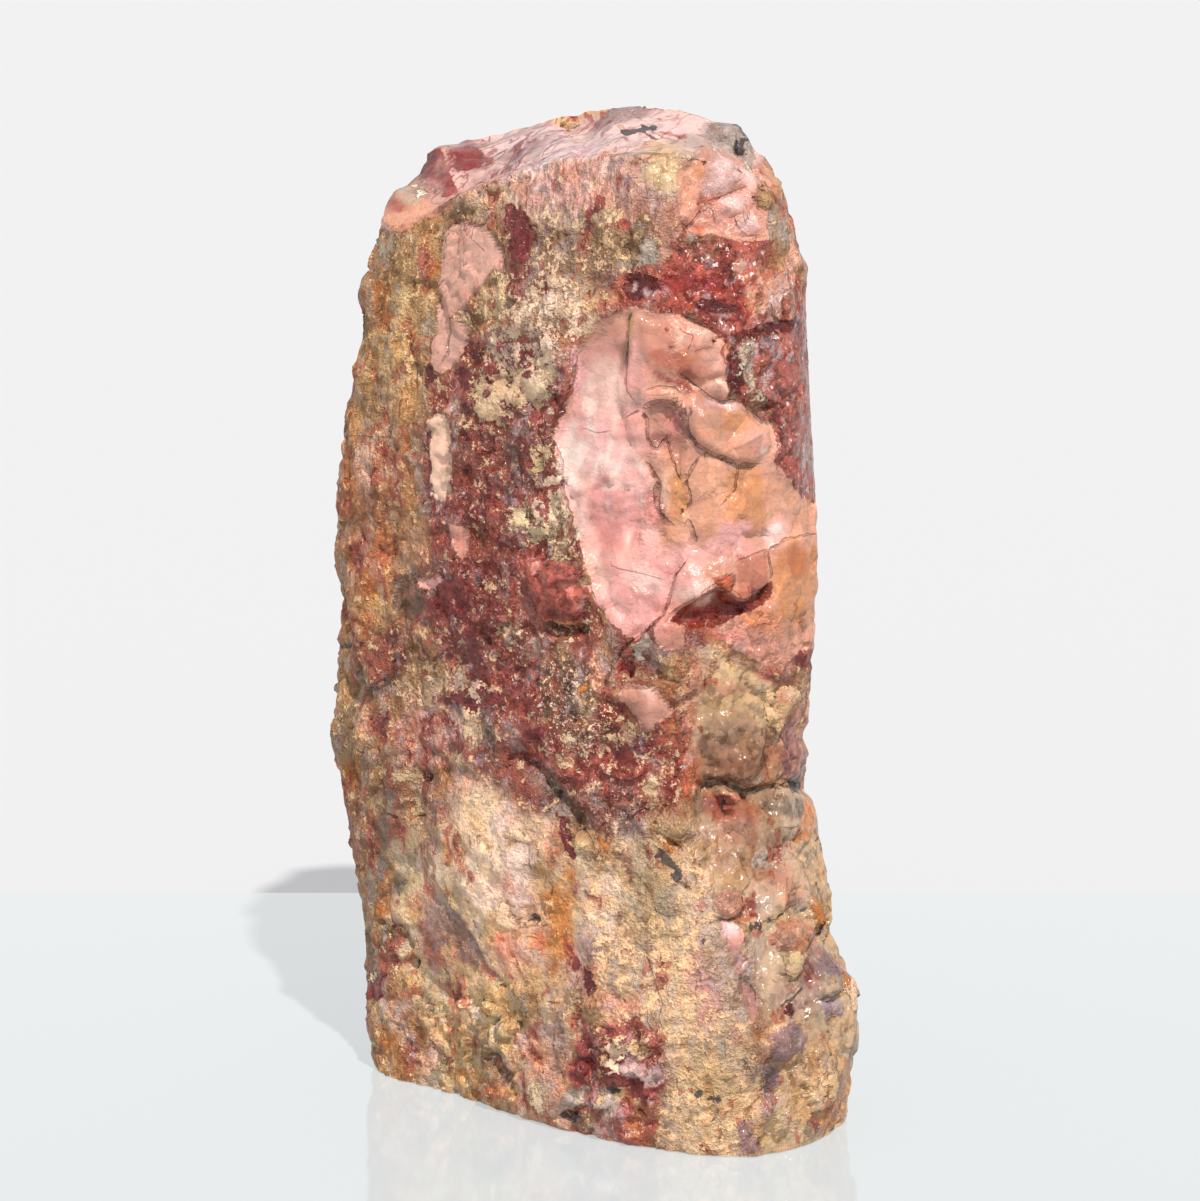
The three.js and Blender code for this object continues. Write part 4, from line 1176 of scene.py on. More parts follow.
DUSTINGS = """
streak 1.0 560,190 80,34 -4; veins 0.9 700,335 40,26 20; veins 0.9 745,610 50,30; facet 1.0 760,635 50,28;
grain 0.3 760,635 50,28; sparkle 0.4 760,635 50,28; clay 0.9 556,300 30,50; clay 0.85 530,350 40,60; clay
0.7 604,252 24,22; clay 0.56 600,738 56,32; clay 0.9 555,520 30,26; clay 0.75 560,460 20,26; clay 0.55
405,300 22,60; clay 0.8 500,300 22,20; red 0.95 470,600 36,60; red 0.95 515,250 16,40; red 0.9 460,440
16,50; red 0.9 640,290 30,26; red 0.9 525,440 26,40; olive 0.9 495,580 16,90; olive 0.85 560,240 44,24;
olive 0.85 395,440 16,60; olive 0.8 555,720 26,24; clay 0.7 430,682 34,22; red 0.8 400,660 30,40; red 0.7
432,742 36,30; clay 0.55 728,960 26,70; clay 0.74 692,1060 34,60; warm 0.4 728,960 26,70; clay 0.45 650,880
50,30; clay 0.7 620,1050 30,20; red 0.12 570,190 76,34 -4; olive 0.1 570,190 76,34 -4; grain 0.25 570,190
76,34 -4; clay 0.75 560,220 50,12 -6; warm 0.1 530,350 50,80; gloss 0.7 470,600 60,90; gloss 0.8 660,176
24,20; grain 0.1 660,176 24,20; clay 0.1 660,176 24,20; olive 0.15 660,176 24,20; gloss 0.9 560,595 34,34;
clay 0.05 735,690 36,30; grain 0.1 735,690 36,30; red 0.1 735,690 36,30; gloss 0.85 735,690 36,30; olive 0.2
600,738 50,30; facet 0.6 735,690 36,30; clay 0.15 800,1090 40,50; grain 0.3 800,1090 40,50; gloss 0.7
800,1090 40,50; olive 0.4 800,1090 40,50; red 0.3 572,695 32,48; clay 0.42 575,690 26,40; grain 0.8 575,705
40,50; olive 0.5 575,690 30,44; red 0.06 810,1010 60,110; red 0.15 770,850 60,60; veins 0 735,690 36,30;
olive 0.02 735,735 40,56; red 0.08 735,735 40,56; grain 0.05 735,735 36,50; sparkle 1.0 562,592 34,34; grain
0.35 562,592 32,32; clay 0.08 562,590 30,30; red 0.2 548,1072 24,46; clay 0.2 548,1072 24,46; olive 0.1
548,1072 24,46
"""
for name, text in entries(DUSTINGS):
    amount, place = text.split(" ", 1)
    share = smooth_step(shape(place, 1.0) + 1.5 * BLOTCH, -1.5, 1.5) * DRAWN
    finish[name] += (float(amount) - finish[name]) * share
# The far side, which has no marks, gets its changes of finish from lumps.
for number, name in enumerate(("red", "clay", "olive", "grain", "gloss")):
    drift = lumps(SMOOTH_NET, 24, 120 + number) + 0.5 * lumps(SMOOTH_NET, 9, 130 + number)
    finish[name] = np.clip(finish[name] + 0.32 * drift * (1 - DRAWN), 0, 1)
print("finish means:", {name: round(float(values.mean()), 2) for name, values in finish.items()})

# %% Tints and painted light
# Each entry is a tint, as parts of a hundred of red, green and blue, and the place it is laid on.
# Some only correct a colour, but many are painted light and shade: they lighten places that the
# relief or the sun's angle leaves dark, such as the scalloped lump and the rough foot, and darken
# places that the sun lights strongly, such as the broken top, the crown and the bowl's lower margin.
TINTS_AND_PAINTED_LIGHT = """
120,122,110 395,290 60,110; 123,112,102 375,500 50,130; 128,133,118 350,680 30,90; 134,137,162 532,335
50,85; 112,116,112 470,290 34,86; 115,108,112 470,560 70,80; 120,130,130 560,580 60,80; 134,145,155 red
band; 103,132,148 785,370 30,60; 90,89,98 crown; 82,88,100 560,140 140,26 -12; 112,124,140 570,190 76,34 -4;
92,95,112 main lobe; 84,76,78 upper lobe; 88,91,102 705,140 55,20; 98,101,110 740,500 60,50; 104,126,132
600,480 40,60; 72,62,60 600,566 10,30; 80,74,72 603,352 18,22; 89,87,91 640,600 40,40; 90,80,80 740,640
60,30; 106,99,88 725,690 40,30; 79,66,59 735,760 40,34; 80,78,78 740,830 60,50; 112,112,123 500,720 120,50;
121,126,123 cream; 143,136,130 490,930 60,60; 121,117,93 560,900 20,50; 130,138,132 440,920 60,60 40;
150,170,168 400,1020 34,70; 142,160,160 rough foot; 127,140,136 rose; 150,155,165 burgundy; 126,128,142
sandy; 84,86,106 728,965 24,40; 73,74,86 785,1000 50,70; 99,101,120 548,250 50,30; 150,165,172 521,519
12,14; 140,145,150 556,481 14,8; 155,162,168 scalloped lump; 67,66,70 437,176 22,20; 69,44,42 468,164 18,12;
112,84,78 712,608 40,14 -8; 114,114,126 514,396 40,24; 100,112,108 793,935 16,18; 90,91,92 715,1065 34,40;
91,96,97 645,895 32,44; 144,145,156 580,695 44,50; 105,101,97 445,940 30,40; 134,133,146 605,768 46,22;
112,100,94 786,1036 26,22; 108,113,107 pink patch; 126,118,134 440,465 14,40; 148,160,185 532,372 18,18;
118,110,118 776,724 12,24; 140,158,176 550,503 22,26
"""
# Painted light: the far side, which the sun doesn't reach, is lightened all over to be as bright as the
# sunlit face.
FAR_SIDE_PAINTED_LIGHT = np.array([0.34, 0.30, 0.24])  # the far side is paler all over
tint_and_painted_light = 1 + (1 - DRAWN[..., None]) * FAR_SIDE_PAINTED_LIGHT
for tint, place in entries(TINTS_AND_PAINTED_LIGHT):
    tint = np.array([int(part) for part in tint.split(",")]) / 100
    share = smooth_step(shape(place, 1.0) + 2.0 * BLOTCH, -3.0, 3.0) * DRAWN
    tint_and_painted_light += (tint - tint_and_painted_light) * share[..., None]
print("bloom from", round(float(tint_and_painted_light.min()), 2), "to", round(float(tint_and_painted_light.max()), 2))

# %% [markdown]
# ## The mesh
#
# The net becomes one closed mesh of four-sided faces, drawn in to a point at each end. Every layer goes
# along with it as a named attribute, which the material reads. The unwrapping follows the net:
# columns run across the square and rows run up it, so only the two ends are stretched.

# %% Build the stone
def ring_values(values):
    """One value for each mesh point: both end rows of the net are a single point."""
    middle = values[1:-1].reshape((-1,) + values.shape[2:])
    return np.concatenate([values[:1, 0], middle, values[-1:, 0]])


def skin_faces():
    """Faces by point number, and the net place of every corner."""
    number = np.zeros((ROWS, COLUMNS), int)
    number[1:-1] = 1 + np.arange((ROWS - 2) * COLUMNS).reshape(-1, COLUMNS)
    number[-1] = 1 + number[-2, -1]
    number = number.tolist()
    faces, places = [], []
    for row in range(ROWS - 1):
        for u in range(COLUMNS):
            corners = [(u, row), (u + 1, row), (u + 1, row + 1), (u, row + 1)]
            if row == 0:
                corners[:2] = [(u + 0.5, row)]
            elif row == ROWS - 2:
                corners[2:] = [(u + 0.5, row + 1)]
            faces.append([number[level][int(turn) % COLUMNS] for turn, level in corners])
            places += corners
    return faces, np.array(places, float)


stone_points = ring_values(net) * MM
stone_faces, corner_places = skin_faces()
stone_mesh = bpy.data.meshes.new("opal_rock")
stone_mesh.from_pydata(stone_points.tolist(), [], stone_faces)
stone_mesh.shade_smooth()
stone = add_object("opal_rock", stone_mesh)
print("stone skin:", len(stone_points), "points,", len(stone_faces), "faces")

# %% Unwrap and keep the sawn edge sharp
UV_MARGIN = 0.004
unwrapping = stone_mesh.uv_layers.new(name="OFBake")
uv = corner_places / np.array([COLUMNS, ROWS - 1]) * (1 - 2 * UV_MARGIN) + UV_MARGIN
unwrapping.data.foreach_set("uv", uv.astype(np.float32).ravel())

edge_ring = 1 + (len(SAWN_SHARES) - 1) * COLUMNS
edge_points = np.zeros(len(stone_mesh.edges) * 2, int)
stone_mesh.edges.foreach_get("vertices", edge_points)
on_edge = ((edge_points >= edge_ring) & (edge_points < edge_ring + COLUMNS)).reshape(-1, 2).all(1)
sharp = stone_mesh.attributes.new("sharp_edge", "BOOLEAN", "EDGE")
sharp.data.foreach_set("value", on_edge)

# %% Hang the layers on the mesh
def keep_number(name, values):
    attribute = stone_mesh.attributes.new(name, "FLOAT", "POINT")
    attribute.data.foreach_set("value", ring_values(values).astype(np.float32))


def keep_colour(name, values):
    attribute = stone_mesh.color_attributes.new(name, "FLOAT_COLOR", "POINT")
    filled = np.concatenate([ring_values(values), np.ones((len(stone_points), 1))], 1)
    attribute.data.foreach_set("color", filled.astype(np.float32).ravel())


numbers_kept = {
    "opal_field": opal_field, "mineral_field": mineral_field, "crust_field": crust_field,
    "soot_field": soot_field, "crack_and_shadow_side": crack_and_shadow_side, "crack_and_shadow_width": crack_and_shadow_width,
    "crack_and_shadow_dark": crack_and_shadow_dark, **finish,
}
colours_kept = {
    "undercoat": undercoat, "opal_tone": opal_tone, "mineral_tone": mineral_tone,
    "crust_tone": crust_tone, "tint_and_painted_light": tint_and_painted_light,
}
for name, values in numbers_kept.items():
    keep_number(name, np.clip(values, -8, 8))
for name, values in colours_kept.items():
    keep_colour(name, np.clip(values, 0, 3))
triangles = sum(len(p.vertices) - 2 for p in stone_mesh.polygons)
print("stone mesh:", len(stone_points), "points,", triangles, "triangles,", int(on_edge.sum()), "sharp edges")

# %% [markdown]
# ## Tools for the material
#
# The fine grain is smaller than the net, so it comes from noise in the material. Each effect is a
# node group: the ragged edge of a layer with its rim of painted shadow, mottling, marbling, flow
# bands, combing, crystal facets, veins, and cracks, some of which are painted shadow lines. They put
# out colours, masks and values, and the rock material joins them up.
# A node's output is wrapped as a wire, so that it adds and multiplies like a number.

# %% Wires
tree = None  # the node tree that is being built


class Wire:
    """A node's output, which adds, subtracts and multiplies like a number."""

    def __init__(self, socket):
        self.socket = socket

    def __add__(self, other):
        return maths("ADD", self, other)

    def __sub__(self, other):
        return maths("SUBTRACT", self, other)

    def __rsub__(self, other):
        return maths("SUBTRACT", other, self)

    def __mul__(self, other):
        return maths("MULTIPLY", self, other)

    __radd__, __rmul__ = __add__, __mul__


class Made:
    """A new node, whose outputs are asked for by name or number and come as wires."""

    def __init__(self, node):
        self.node = node

    def __getitem__(self, key):
        return Wire(self.node.outputs[key])


def feed(value, socket):
    if isinstance(value, Wire):
        tree.links.new(value.socket, socket)
    else:
        socket.default_value = value


def put(kind, inputs=(), **settings):
    """Adds a node to the tree, sets it and feeds its inputs with values or wires."""
    node = tree.nodes.new("ShaderNode" + kind)
    for name, value in settings.items():
        setattr(node, name, value)
    for key, value in dict(inputs).items():
        feed(value, node.inputs[key])
    return Made(node)


# %% Values and places
def maths(operation, a, b=0.0, clamp=False):
    return put("Math", {0: a, 1: b}, operation=operation, use_clamp=clamp)[0]


def vector(operation, inputs, output="Vector"):
    return put("VectorMath", inputs, operation=operation)[output]


def between(value, low, high, out_low=0.0, out_high=1.0, curve="SMOOTHSTEP"):
    """A change from one value to another while the input goes from low to high."""
    inputs = {0: value, 1: low, 2: high, 3: out_low, 4: out_high}
    return put("MapRange", inputs, interpolation_type=curve)[0]


def above(value, amount, rare, common, width=0.05):
    """A mask of the places where noise rises above a level; more amount lowers the level."""
    level = between(amount, 0.0, 1.0, rare, common, "LINEAR")
    return between(value, level, level + width)


def swing(value, amount):
    """1 plus the noise's swing about its middle, times an amount."""
    return (value - 0.5) * amount + 1.0


def noise(place, wavelength, detail=2.0, roughness=0.55, output="Fac"):
    inputs = {"Vector": place, "Scale": 1 / wavelength, "Detail": detail, "Roughness": roughness}
    return put("TexNoise", inputs)[output]


def stretched(place, across, up):
    return vector("MULTIPLY", {0: place, 1: (1 / across, 1 / across, 1 / up)})


def strayed(place, wavelength, push, detail):
    """The same place pushed about by broad noise."""
    drift = noise(place, wavelength, detail, 0.5, "Color")
    return vector("ADD", {0: place, 1: vector("SCALE", {0: drift, "Scale": push})})


# %% Colours
def mixed(share, a, b, how="MIX"):
    """Colour a with colour b laid over it."""
    return put("Mix", {0: share, 6: a, 7: b}, data_type="RGBA", blend_type=how)[2]


def tinted(colour, tint):
    return mixed(1.0, colour, tint + (1,), "MULTIPLY")


def stained(colour, share, tint):
    """The colour with a tint of itself laid over a share of it."""
    return mixed(share, colour, tinted(colour, tint))


def brightened(colour, factor):
    grey = put("CombineColor", {0: factor, 1: factor, 2: factor})[0]
    return mixed(1.0, colour, grey, "MULTIPLY")


# %% Groups
KINDS = {"Place": "NodeSocketVector", "Colour": "NodeSocketColor"}


def new_group(name, inputs, outputs):
    """Starts a node group with named sockets, and returns a wire from each of its inputs."""
    global tree
    tree = bpy.data.node_groups.new(name, "ShaderNodeTree")
    for in_out, labels in (("INPUT", inputs), ("OUTPUT", outputs)):
        for label in labels.split():
            kind = KINDS.get(label, "NodeSocketFloat")
            tree.interface.new_socket(label, in_out=in_out, socket_type=kind)
    start = tree.nodes.new("NodeGroupInput")
    return [Wire(start.outputs[label]) for label in inputs.split()]


def give(**results):
    """Ends the group: feeds its outputs and returns it."""
    end = tree.nodes.new("NodeGroupOutput")
    for label, value in results.items():
        feed(value, end.inputs[label])
    return tree


def use(group, **inputs):
    """Places a group in the tree."""
    return put("Group", inputs, node_tree=group)


# %% Group: ragged edge of a layer
def make_ragged_edge():
    """A layer's mask from its distance in mm, pushed about by noise, and the thin rim outside it, where
    painted shadow goes.
    """
    wander, distance, ragged = new_group("ragged edge", "Wander Distance Ragged", "Mask Rim")
    push = 9.0  # mm, for noise that swings by 1
    pushed = distance + (wander - 0.5) * ragged * push
    mask = between(pushed, -0.18, 0.18)
    return give(Mask=mask, Rim=between(pushed, -0.6, -0.1) * (1.0 - mask))


# %% Group: mottling
def make_mottling():
    """Turns one colour into a family of close ones: lighter, darker and redder clouds."""
    colour, cloud, hue, amount = new_group("mottling", "Colour Cloud Hue Amount", "Colour")
    shaded = brightened(colour, swing(cloud, amount * 3.6))
    redder = maths("MULTIPLY", between(hue, 0.50, 0.60), amount, clamp=True)
    return give(Colour=stained(shaded, redder, (0.88, 0.62, 0.55)))


# %% Group: marbled rock
DUST = (0.40, 0.33, 0.33, 1)
MAROON_ROCK = (0.33, 0.075, 0.045, 1)
WINE_ROCK = (0.18, 0.026, 0.018, 1)
COOL_CLAY = (0.70, 0.48, 0.29, 1)
WARM_CLAY = (0.80, 0.46, 0.215, 1)


def make_marbling():
    """Rock of four ingredients in an undercoat: dark red, olive, clay crumbs and painted shade of small dark
    hollows.
    """
    place, undercoat_colour, hue, red, clay, olive, grain, warm = new_group(
        "marbled rock", "Place Colour Hue Red Clay Olive Grain Warm", "Colour Height"
    )
    swirled = strayed(place, 5.0, 5.0, 1.0)
    marble = noise(stretched(swirled, 1.0, 2.3), 4.6, 5.0, 0.64)
    strokes = noise(stretched(swirled, 0.8, 2.2), 2.8, 4.0, 0.72)
    crumbs = noise(place, 2.3, 4.0, 0.74)
    grit = noise(place, 0.8, 2.0, 0.7)
    flecks = between(grain, 0.55, 0.85, crumbs, grit)  # the grainiest rock has the finest flecks

    red_mask = above(marble, red, 0.62, 0.44, 0.025)
    deep_mask = above(marble, red, 0.69, 0.52, 0.025)
    olive_mask = above(1.0 - marble, olive, 0.62, 0.48, 0.03)
    clay_mask = above(flecks, clay, 0.66, 0.47, 0.012)
    clay_shadow_rim = above(flecks, clay, 0.635, 0.445, 0.02)
    hollow_shade_mask = above(strokes, grain, 0.66, 0.545, 0.025)
    light_mask = above(1.0 - strokes, grain, 0.66, 0.55, 0.03)
    lively = maths("ADD", grain * 2.2, 0.1, clamp=True)
    rusty = between(hue, 0.53, 0.58) * lively
    dusty = between(hue, 0.46, 0.41) * lively * between(warm, 0.5, 1.0, 1.0, 0.2)

    colour = brightened(undercoat_colour, swing(crumbs, grain * 2.4 + 0.4))
    colour = brightened(colour, swing(grit, grain * 2.6))
    colour = stained(colour, 0.5 * rusty, (1.10, 0.84, 0.52))
    colour = mixed(0.35 * dusty, colour, DUST)
    red_rock = mixed(0.55, tinted(colour, (0.85, 0.48, 0.40)), MAROON_ROCK)
    colour = mixed(0.85 * red_mask, colour, red_rock)
    colour = mixed(0.8 * deep_mask, colour, brightened(WINE_ROCK, swing(crumbs, 4.0)))
    colour = stained(colour, 0.85 * olive_mask, (0.69, 0.57, 0.46))
    colour = stained(colour, 0.55 * light_mask, (1.55, 1.5, 1.45))
    # Painted shade: dark strokes stand for the shade of small hollows, which are not carved.
    colour = stained(colour, 0.8 * hollow_shade_mask, (0.42, 0.30, 0.27))
    # Painted shadow: a thin dark rim round each clay crumb.
    colour = stained(colour, 0.5 * clay_shadow_rim, (0.5, 0.42, 0.38))
    clay_rock = brightened(mixed(warm, COOL_CLAY, WARM_CLAY), swing(grit, 1.4))
    clay_rock = mixed(0.2, clay_rock, undercoat_colour)
    colour = mixed(0.92 * clay_mask, colour, clay_rock)
    return give(Colour=colour, Height=0.35 * clay_mask + 0.8 * grit + 2.6 * crumbs)


# %% Group: flow bands
FLOW_BANDS = [  # the band's level in the noise, its half width and its tint
    (0.43, 0.030, (0.70, 0.60, 0.66)), (0.49, 0.010, (0.62, 0.35, 0.36)),
    (0.54, 0.030, (1.06, 1.0, 0.97)), (0.59, 0.012, (0.55, 0.30, 0.30)),
    (0.64, 0.035, (0.68, 0.58, 0.62)),
]


def make_flow():
    """Opal that set in thin sheets: long bands of wine, grey and pale pink that run along Y."""
    place, base, wander = new_group("flow bands", "Place Colour Wander", "Colour")
    squeezed = vector("MULTIPLY", {0: place, 1: (0.07, 0.014, 0.035)})
    bands = noise(squeezed, 1.0, 3.0, 0.6) + 0.07 * wander
    colour = base
    for level, width, tint in FLOW_BANDS:
        gap = maths("ABSOLUTE", bands - level)
        colour = mixed(between(gap, width, width * 0.35), colour, tinted(base, tint))
    return give(Colour=colour)


# %% Group: weather combing
def make_combing():
    """Fine upright ribs, like wood grain, from noise stretched up the stone."""
    (place,) = new_group("weather combing", "Place", "Ribs")
    return give(Ribs=between(noise(stretched(place, 1.0, 4.0), 1.3, 3.0, 0.7), 0.32, 0.68))


# %% Group: crystal facets
def make_facets():
    """Small crystal faces, each leaning its own way, as a height in mm, and a chance for each face."""
    place, size = new_group("crystal facets", "Place Size", "Height Chance")
    inputs = {"Vector": place, "Scale": maths("DIVIDE", 1.0, size)}
    cells = put("TexVoronoi", inputs, feature="F1")
    from_middle = vector("SUBTRACT", {0: place, 1: cells["Position"]})
    lean = vector("SUBTRACT", {0: cells["Color"], 1: (0.5, 0.5, 0.5)})
    height = vector("DOT_PRODUCT", {0: from_middle, 1: lean}, "Value")
    return give(Height=height, Chance=put("SeparateColor", {0: cells["Color"]})[0])


# %% Group: healed veins
def make_veins():
    """A net of thin healed cracks that shows in parts: its lines, and a broad blush beside them."""
    place, amount, presence = new_group("healed veins", "Place Amount Presence", "Lines Blush")
    inputs = {"Vector": strayed(place, 6.0, 8.0, 2.0), "Scale": 1 / 8.5}
    gap = put("TexVoronoi", inputs, feature="DISTANCE_TO_EDGE")["Distance"]
    shown = above(presence, amount, 0.72, 0.40, 0.08)
    return give(Lines=between(gap, 0.024, 0.006) * shown, Blush=between(gap, 0.22, 0.02) * shown)


# %% Group: cracks and painted shadow lines
def make_cracks():
    """The mask of a dark line from the signed distance to its middle, with a wandering, uneven course. Most
    lines are cracks, and a few are painted shadow.
    """
    wander, side, width = new_group("cracks", "Wander Side Width", "Mask")
    course = side + 0.9 * (wander - 0.5)
    uneven = maths("MAXIMUM", width * between(wander, 0.35, 0.65, 1.35, 0.45), 0.0001)
    ratio = maths("DIVIDE", maths("ABSOLUTE", course), uneven)
    return give(Mask=between(ratio, 1.3, 0.5))


ragged_edge, mottling, marbling, flow = make_ragged_edge(), make_mottling(), make_marbling(), make_flow()
combing, facets, veins, cracks = make_combing(), make_facets(), make_veins(), make_cracks()
print("node groups:", [group.name for group in bpy.data.node_groups])

# %% [markdown]
# ## The rock material
#
# From below upward: the marbled undercoat with painted shade in its small hollows, its ribs and
# its painted glints, the opal, the dark minerals, the pale crust, black stains with painted shade
# in the pits, the tints with their painted light and shade, and last the cracks and the painted
# shadow lines. Opal is smooth and a little cloudy, the minerals are glassy and glitter, and crust
# and rind are dull. The same masks steer the roughness and a fine bump, so colour, gloss and touch
# change at the same edges. A thin painted shadow lies round each crust and each opal patch.

# %% Read the layers from the mesh
rock_material = bpy.data.materials.new("rough opal")
rock_material.use_nodes = True
tree = rock_material.node_tree
tree.nodes.clear()


def read(name, output="Fac"):
    return put("Attribute", attribute_name=name)[output]


place = vector("SCALE", {0: put("TexCoord")["Object"], "Scale": 1 / MM})
amount = {name: read(name) for name in numbers_kept}
tone = {name: read(name, "Color") for name in colours_kept}
wander = noise(place, 3.2, 4.0, 0.64)
cloud = noise(place, 1.8, 3.0, 0.7)
hue = noise(stretched(place, 1.0, 1.6), 4.0, 3.0, 0.7)

RAGGED = {"mineral": 0.6, "opal": 0.4, "crust": 0.9, "soot": 0.7}
edges = {
    name: use(ragged_edge, Wander=cloud if name == "crust" else wander,
              Distance=amount[name + "_field"], Ragged=ragged)
    for name, ragged in RAGGED.items()
}
masks = {name: edge["Mask"] for name, edge in edges.items()}
print("layers read:", len(amount), "numbers and", len(tone), "colours")

# %% Material: the undercoat rock
PAINTED_GLINT = (0.80, 0.62, 0.56, 1)

ribs = use(combing, Place=place)["Ribs"]
ground = use(marbling, Place=place, Colour=tone["undercoat"], Hue=hue, Red=amount["red"],
             Clay=amount["clay"], Olive=amount["olive"], Grain=amount["grain"], Warm=amount["warm"])
combed = brightened(ground["Colour"], between(ribs, 0.0, 1.0, 0.68, 1.26))
combed = mixed(amount["streak"], ground["Colour"], combed)
banded = use(flow, Place=place, Colour=combed, Wander=wander)["Colour"]
rock = mixed(amount["flow"], combed, banded)
# Painted glints: pale specks where the rock sparkles, laid into the colour so that they show from every side.
rock = mixed(0.8 * (between(cloud, 0.64, 0.66) * amount["sparkle"]), rock, PAINTED_GLINT)

# %% Material: the opal
large_faces = use(facets, Place=place, Size=4.6)
opal_colour = brightened(tone["opal_tone"], swing(large_faces["Chance"], 0.3 * amount["facet"] + 0.17))
opal_colour = stained(opal_colour, 0.5 * between(wander, 0.48, 0.66), (0.96, 0.80, 0.74))
opal_colour = use(mottling, Colour=opal_colour, Cloud=cloud, Hue=hue, Amount=0.09)["Colour"]
healed = use(veins, Place=place, Amount=amount["veins"], Presence=hue)
opal_colour = stained(opal_colour, 0.45 * healed["Blush"], (0.95, 0.72, 0.62))
opal_colour = stained(opal_colour, 0.85 * healed["Lines"], (0.46, 0.17, 0.11))

# %% Material: minerals, crust, stains and cracks
STAIN_AND_SHADE_BLACK = (0.022, 0.018, 0.018, 1)

# Painted shadow: a thin dark rim round each opal patch.
colour = stained(rock, 0.4 * edges["opal"]["Rim"], (0.5, 0.36, 0.32))
colour = mixed(masks["opal"], colour, opal_colour)
mineral = use(mottling, Colour=tone["mineral_tone"], Cloud=wander, Hue=hue, Amount=0.6)
colour = mixed(masks["mineral"], colour, mineral["Colour"])
# Painted shadow: a darker rim round each crust.
colour = stained(colour, 0.7 * edges["crust"]["Rim"], (0.45, 0.36, 0.32))
crust = use(mottling, Colour=tone["crust_tone"], Cloud=wander, Hue=hue, Amount=0.35)
colour = mixed(masks["crust"], colour, crust["Colour"])
# Black stains, and painted shade in the pits, notches and the cave.
colour = mixed(0.88 * masks["soot"], colour, STAIN_AND_SHADE_BLACK)
# The tints, many of them painted light and shade, multiply the colour.
colour = mixed(1.0, colour, tone["tint_and_painted_light"], "MULTIPLY")
# The dark lines: mostly cracks, and painted shadow lines under overhangs and in grooves.
crack = use(cracks, Wander=wander, Side=amount["crack_and_shadow_side"], Width=amount["crack_and_shadow_width"])["Mask"]
crack_and_shadow_share = crack * amount["crack_and_shadow_dark"] * between(cloud, 0.36, 0.56, 1.0, 0.35)
colour = stained(colour, crack_and_shadow_share, (0.14, 0.06, 0.045))

# %% Material: gloss
DULLEST = 0.84
GLOSSIEST = 0.10

small_faces = use(facets, Place=place, Size=1.2)
glint = maths("GREATER_THAN", small_faces["Chance"], 0.55) * amount["sparkle"]
roughness = (DULLEST - 0.80 * amount["gloss"]) * swing(hue, 1.6)
roughness = roughness - 0.3 * glint + 0.3 * masks["crust"]
roughness = maths("MAXIMUM", roughness, GLOSSIEST, clamp=True)

# %% Material: fine bump, in mm
height = ground["Height"] * amount["grain"] + (1.3 * amount["grain"] + 0.3) * wander
height = height + 0.25 * ribs * amount["streak"]
height = height + 1.9 * small_faces["Height"] * amount["sparkle"]
height = height + 0.55 * large_faces["Height"] * amount["facet"]
height = height + 0.3 * masks["crust"] - 0.3 * crack
normal = put("Bump", {"Strength": 1.0, "Distance": MM, "Height": height})["Normal"]

# %% Join colour, gloss and bump
GLASS_BEND = 1.5  # how strongly the surface bends light; it sets the strength of the shine

surface = {"Base Color": colour, "Roughness": roughness, "Normal": normal, "IOR": GLASS_BEND}
put("OutputMaterial", {"Surface": put("BsdfPrincipled", surface)[0]})
stone_mesh.materials.append(rock_material)
print("material:", rock_material.name, "with", len(tree.nodes), "nodes")

# %% [markdown]
# ## Floor, light and hand-over
#
# A stone like this is shown on a pale glossy table in soft daylight. A large white surrounding
# gives most of the light, and one broad sun from the upper right gives the gentle shadows that let
# the relief be read. The floor is only a stage and isn't part of the stone.

# %% Floor
FLOOR_HALF = 6.0  # m
TABLE_EDGE_DOWN = 892  # square down the sheet where the far edge of the table shows
GROUND_LEVEL = -0.0002  # m, a hair under the stone's base


def floor_distance(down):
    """Level distance in m from the eye to the floor, along the sheet's middle, at a square down it."""
    drop = math.atan((down - SHEET_DOWN / 2) / EYE_REACH) + EYE_ELEVATION
    return EYE_POINT[2] * MM / math.tan(drop)


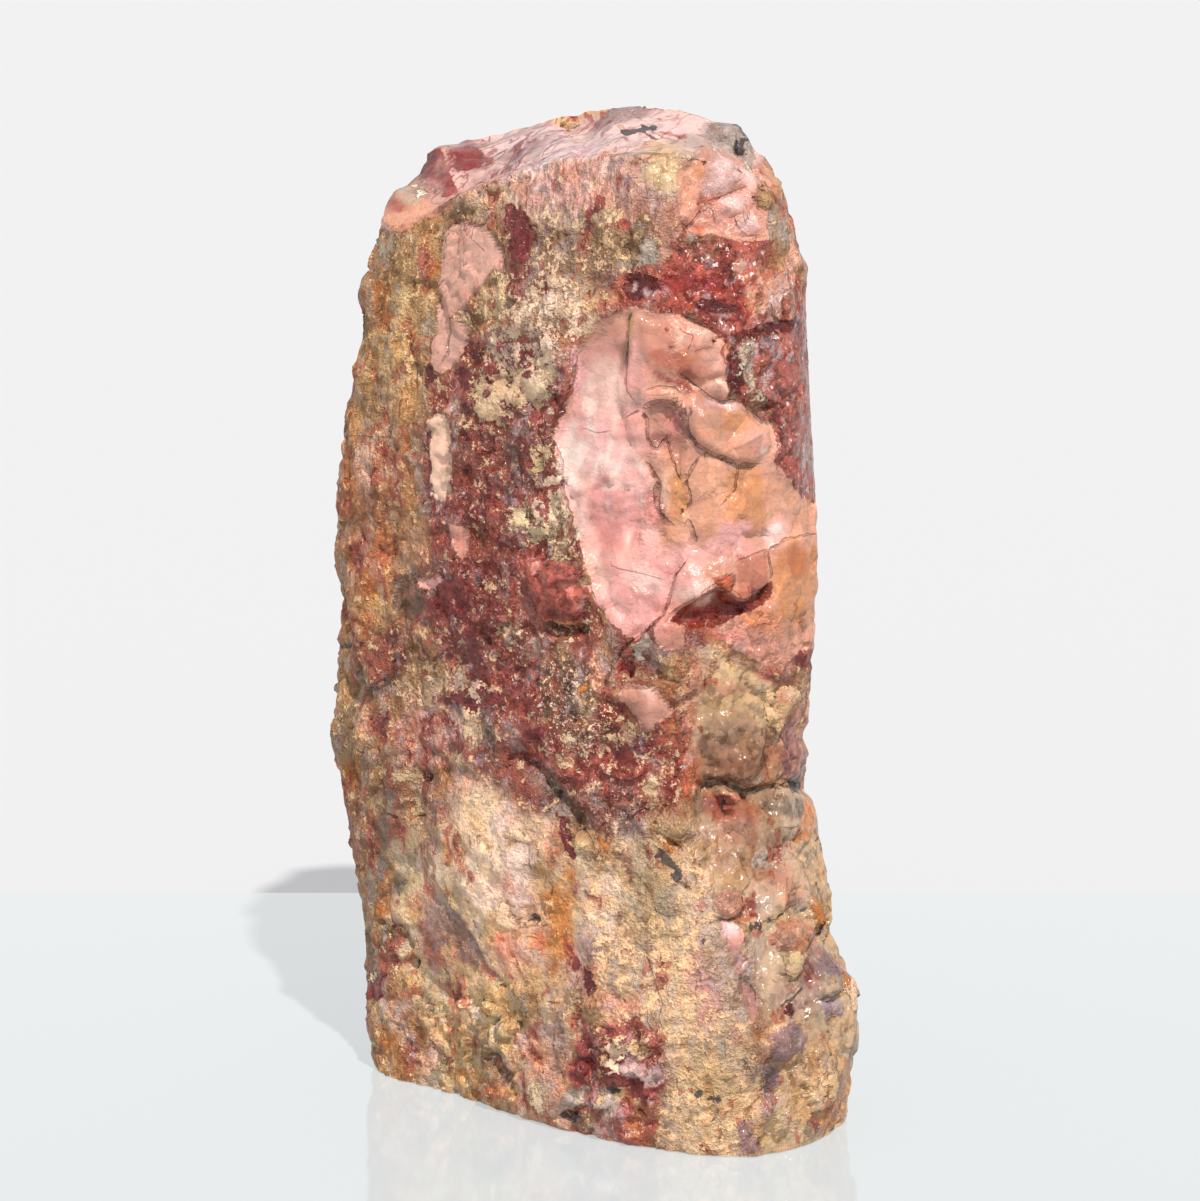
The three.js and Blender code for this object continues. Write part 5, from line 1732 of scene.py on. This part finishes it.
def make_ground(name, near, far, colour, glow, roughness):
    """A level strip that lies across the view, from one distance from the eye to another."""
    ahead = -Vector((BACKWARD[0], BACKWARD[1], 0)).normalized()
    across = Vector(SIDEWAYS) * FLOOR_HALF
    start = Vector((EYE_POINT[0] * MM, EYE_POINT[1] * MM, GROUND_LEVEL))
    corners = [(near, -1), (near, 1), (far, 1), (far, -1)]
    points = [start + ahead * reach + across * side for reach, side in corners]
    mesh = bpy.data.meshes.new(name)
    mesh.from_pydata(points, [], [(0, 1, 2, 3)])
    material = bpy.data.materials.new(name)
    material.use_nodes = True
    shader = material.node_tree.nodes["Principled BSDF"]
    shader.inputs["Base Color"].default_value = colour + (1,)
    shader.inputs["Emission Color"].default_value = colour + (1,)
    shader.inputs["Emission Strength"].default_value = glow
    shader.inputs["Roughness"].default_value = roughness
    mesh.materials.append(material)
    return add_object(name, mesh)


table_far = floor_distance(TABLE_EDGE_DOWN)
table = make_ground("table", -FLOOR_HALF, table_far, (0.165, 0.174, 0.176), glow=2.79, roughness=0.08)
backdrop = make_ground("backdrop", table_far, FLOOR_HALF * 2, (0.335, 0.335, 0.345), glow=0.85, roughness=0.9)
print("table's far edge from the eye:", round(table_far, 3), "m")

# %% Light
SUN_AZIMUTH = math.radians(53)
SUN_ELEVATION = math.radians(55)
SUN_STRENGTH = 4.0
SUN_WIDTH = math.radians(1.6)  # a wider sun gives softer shadows
SUN_COLOUR = (1.0, 0.97, 0.93)
SKY_STRENGTH = 0.70

world = bpy.data.worlds.new("white room")
world.use_nodes = True
background = world.node_tree.nodes["Background"]
background.inputs["Color"].default_value = (1.0, 1.0, 1.0, 1)
background.inputs["Strength"].default_value = SKY_STRENGTH
bpy.context.scene.world = world

sun_data = bpy.data.lights.new("daylight", "SUN")
sun_data.energy = SUN_STRENGTH
sun_data.angle = SUN_WIDTH
sun_data.color = SUN_COLOUR
sun = add_object("daylight", sun_data)
look_along(sun, -direction_to(SUN_AZIMUTH, SUN_ELEVATION))
bpy.context.scene.view_settings.view_transform = "Standard"
print("sun strength:", SUN_STRENGTH, "and sky strength:", SKY_STRENGTH)

# %% Hand over to the frame
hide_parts("opal_stone")
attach(stone, "root")
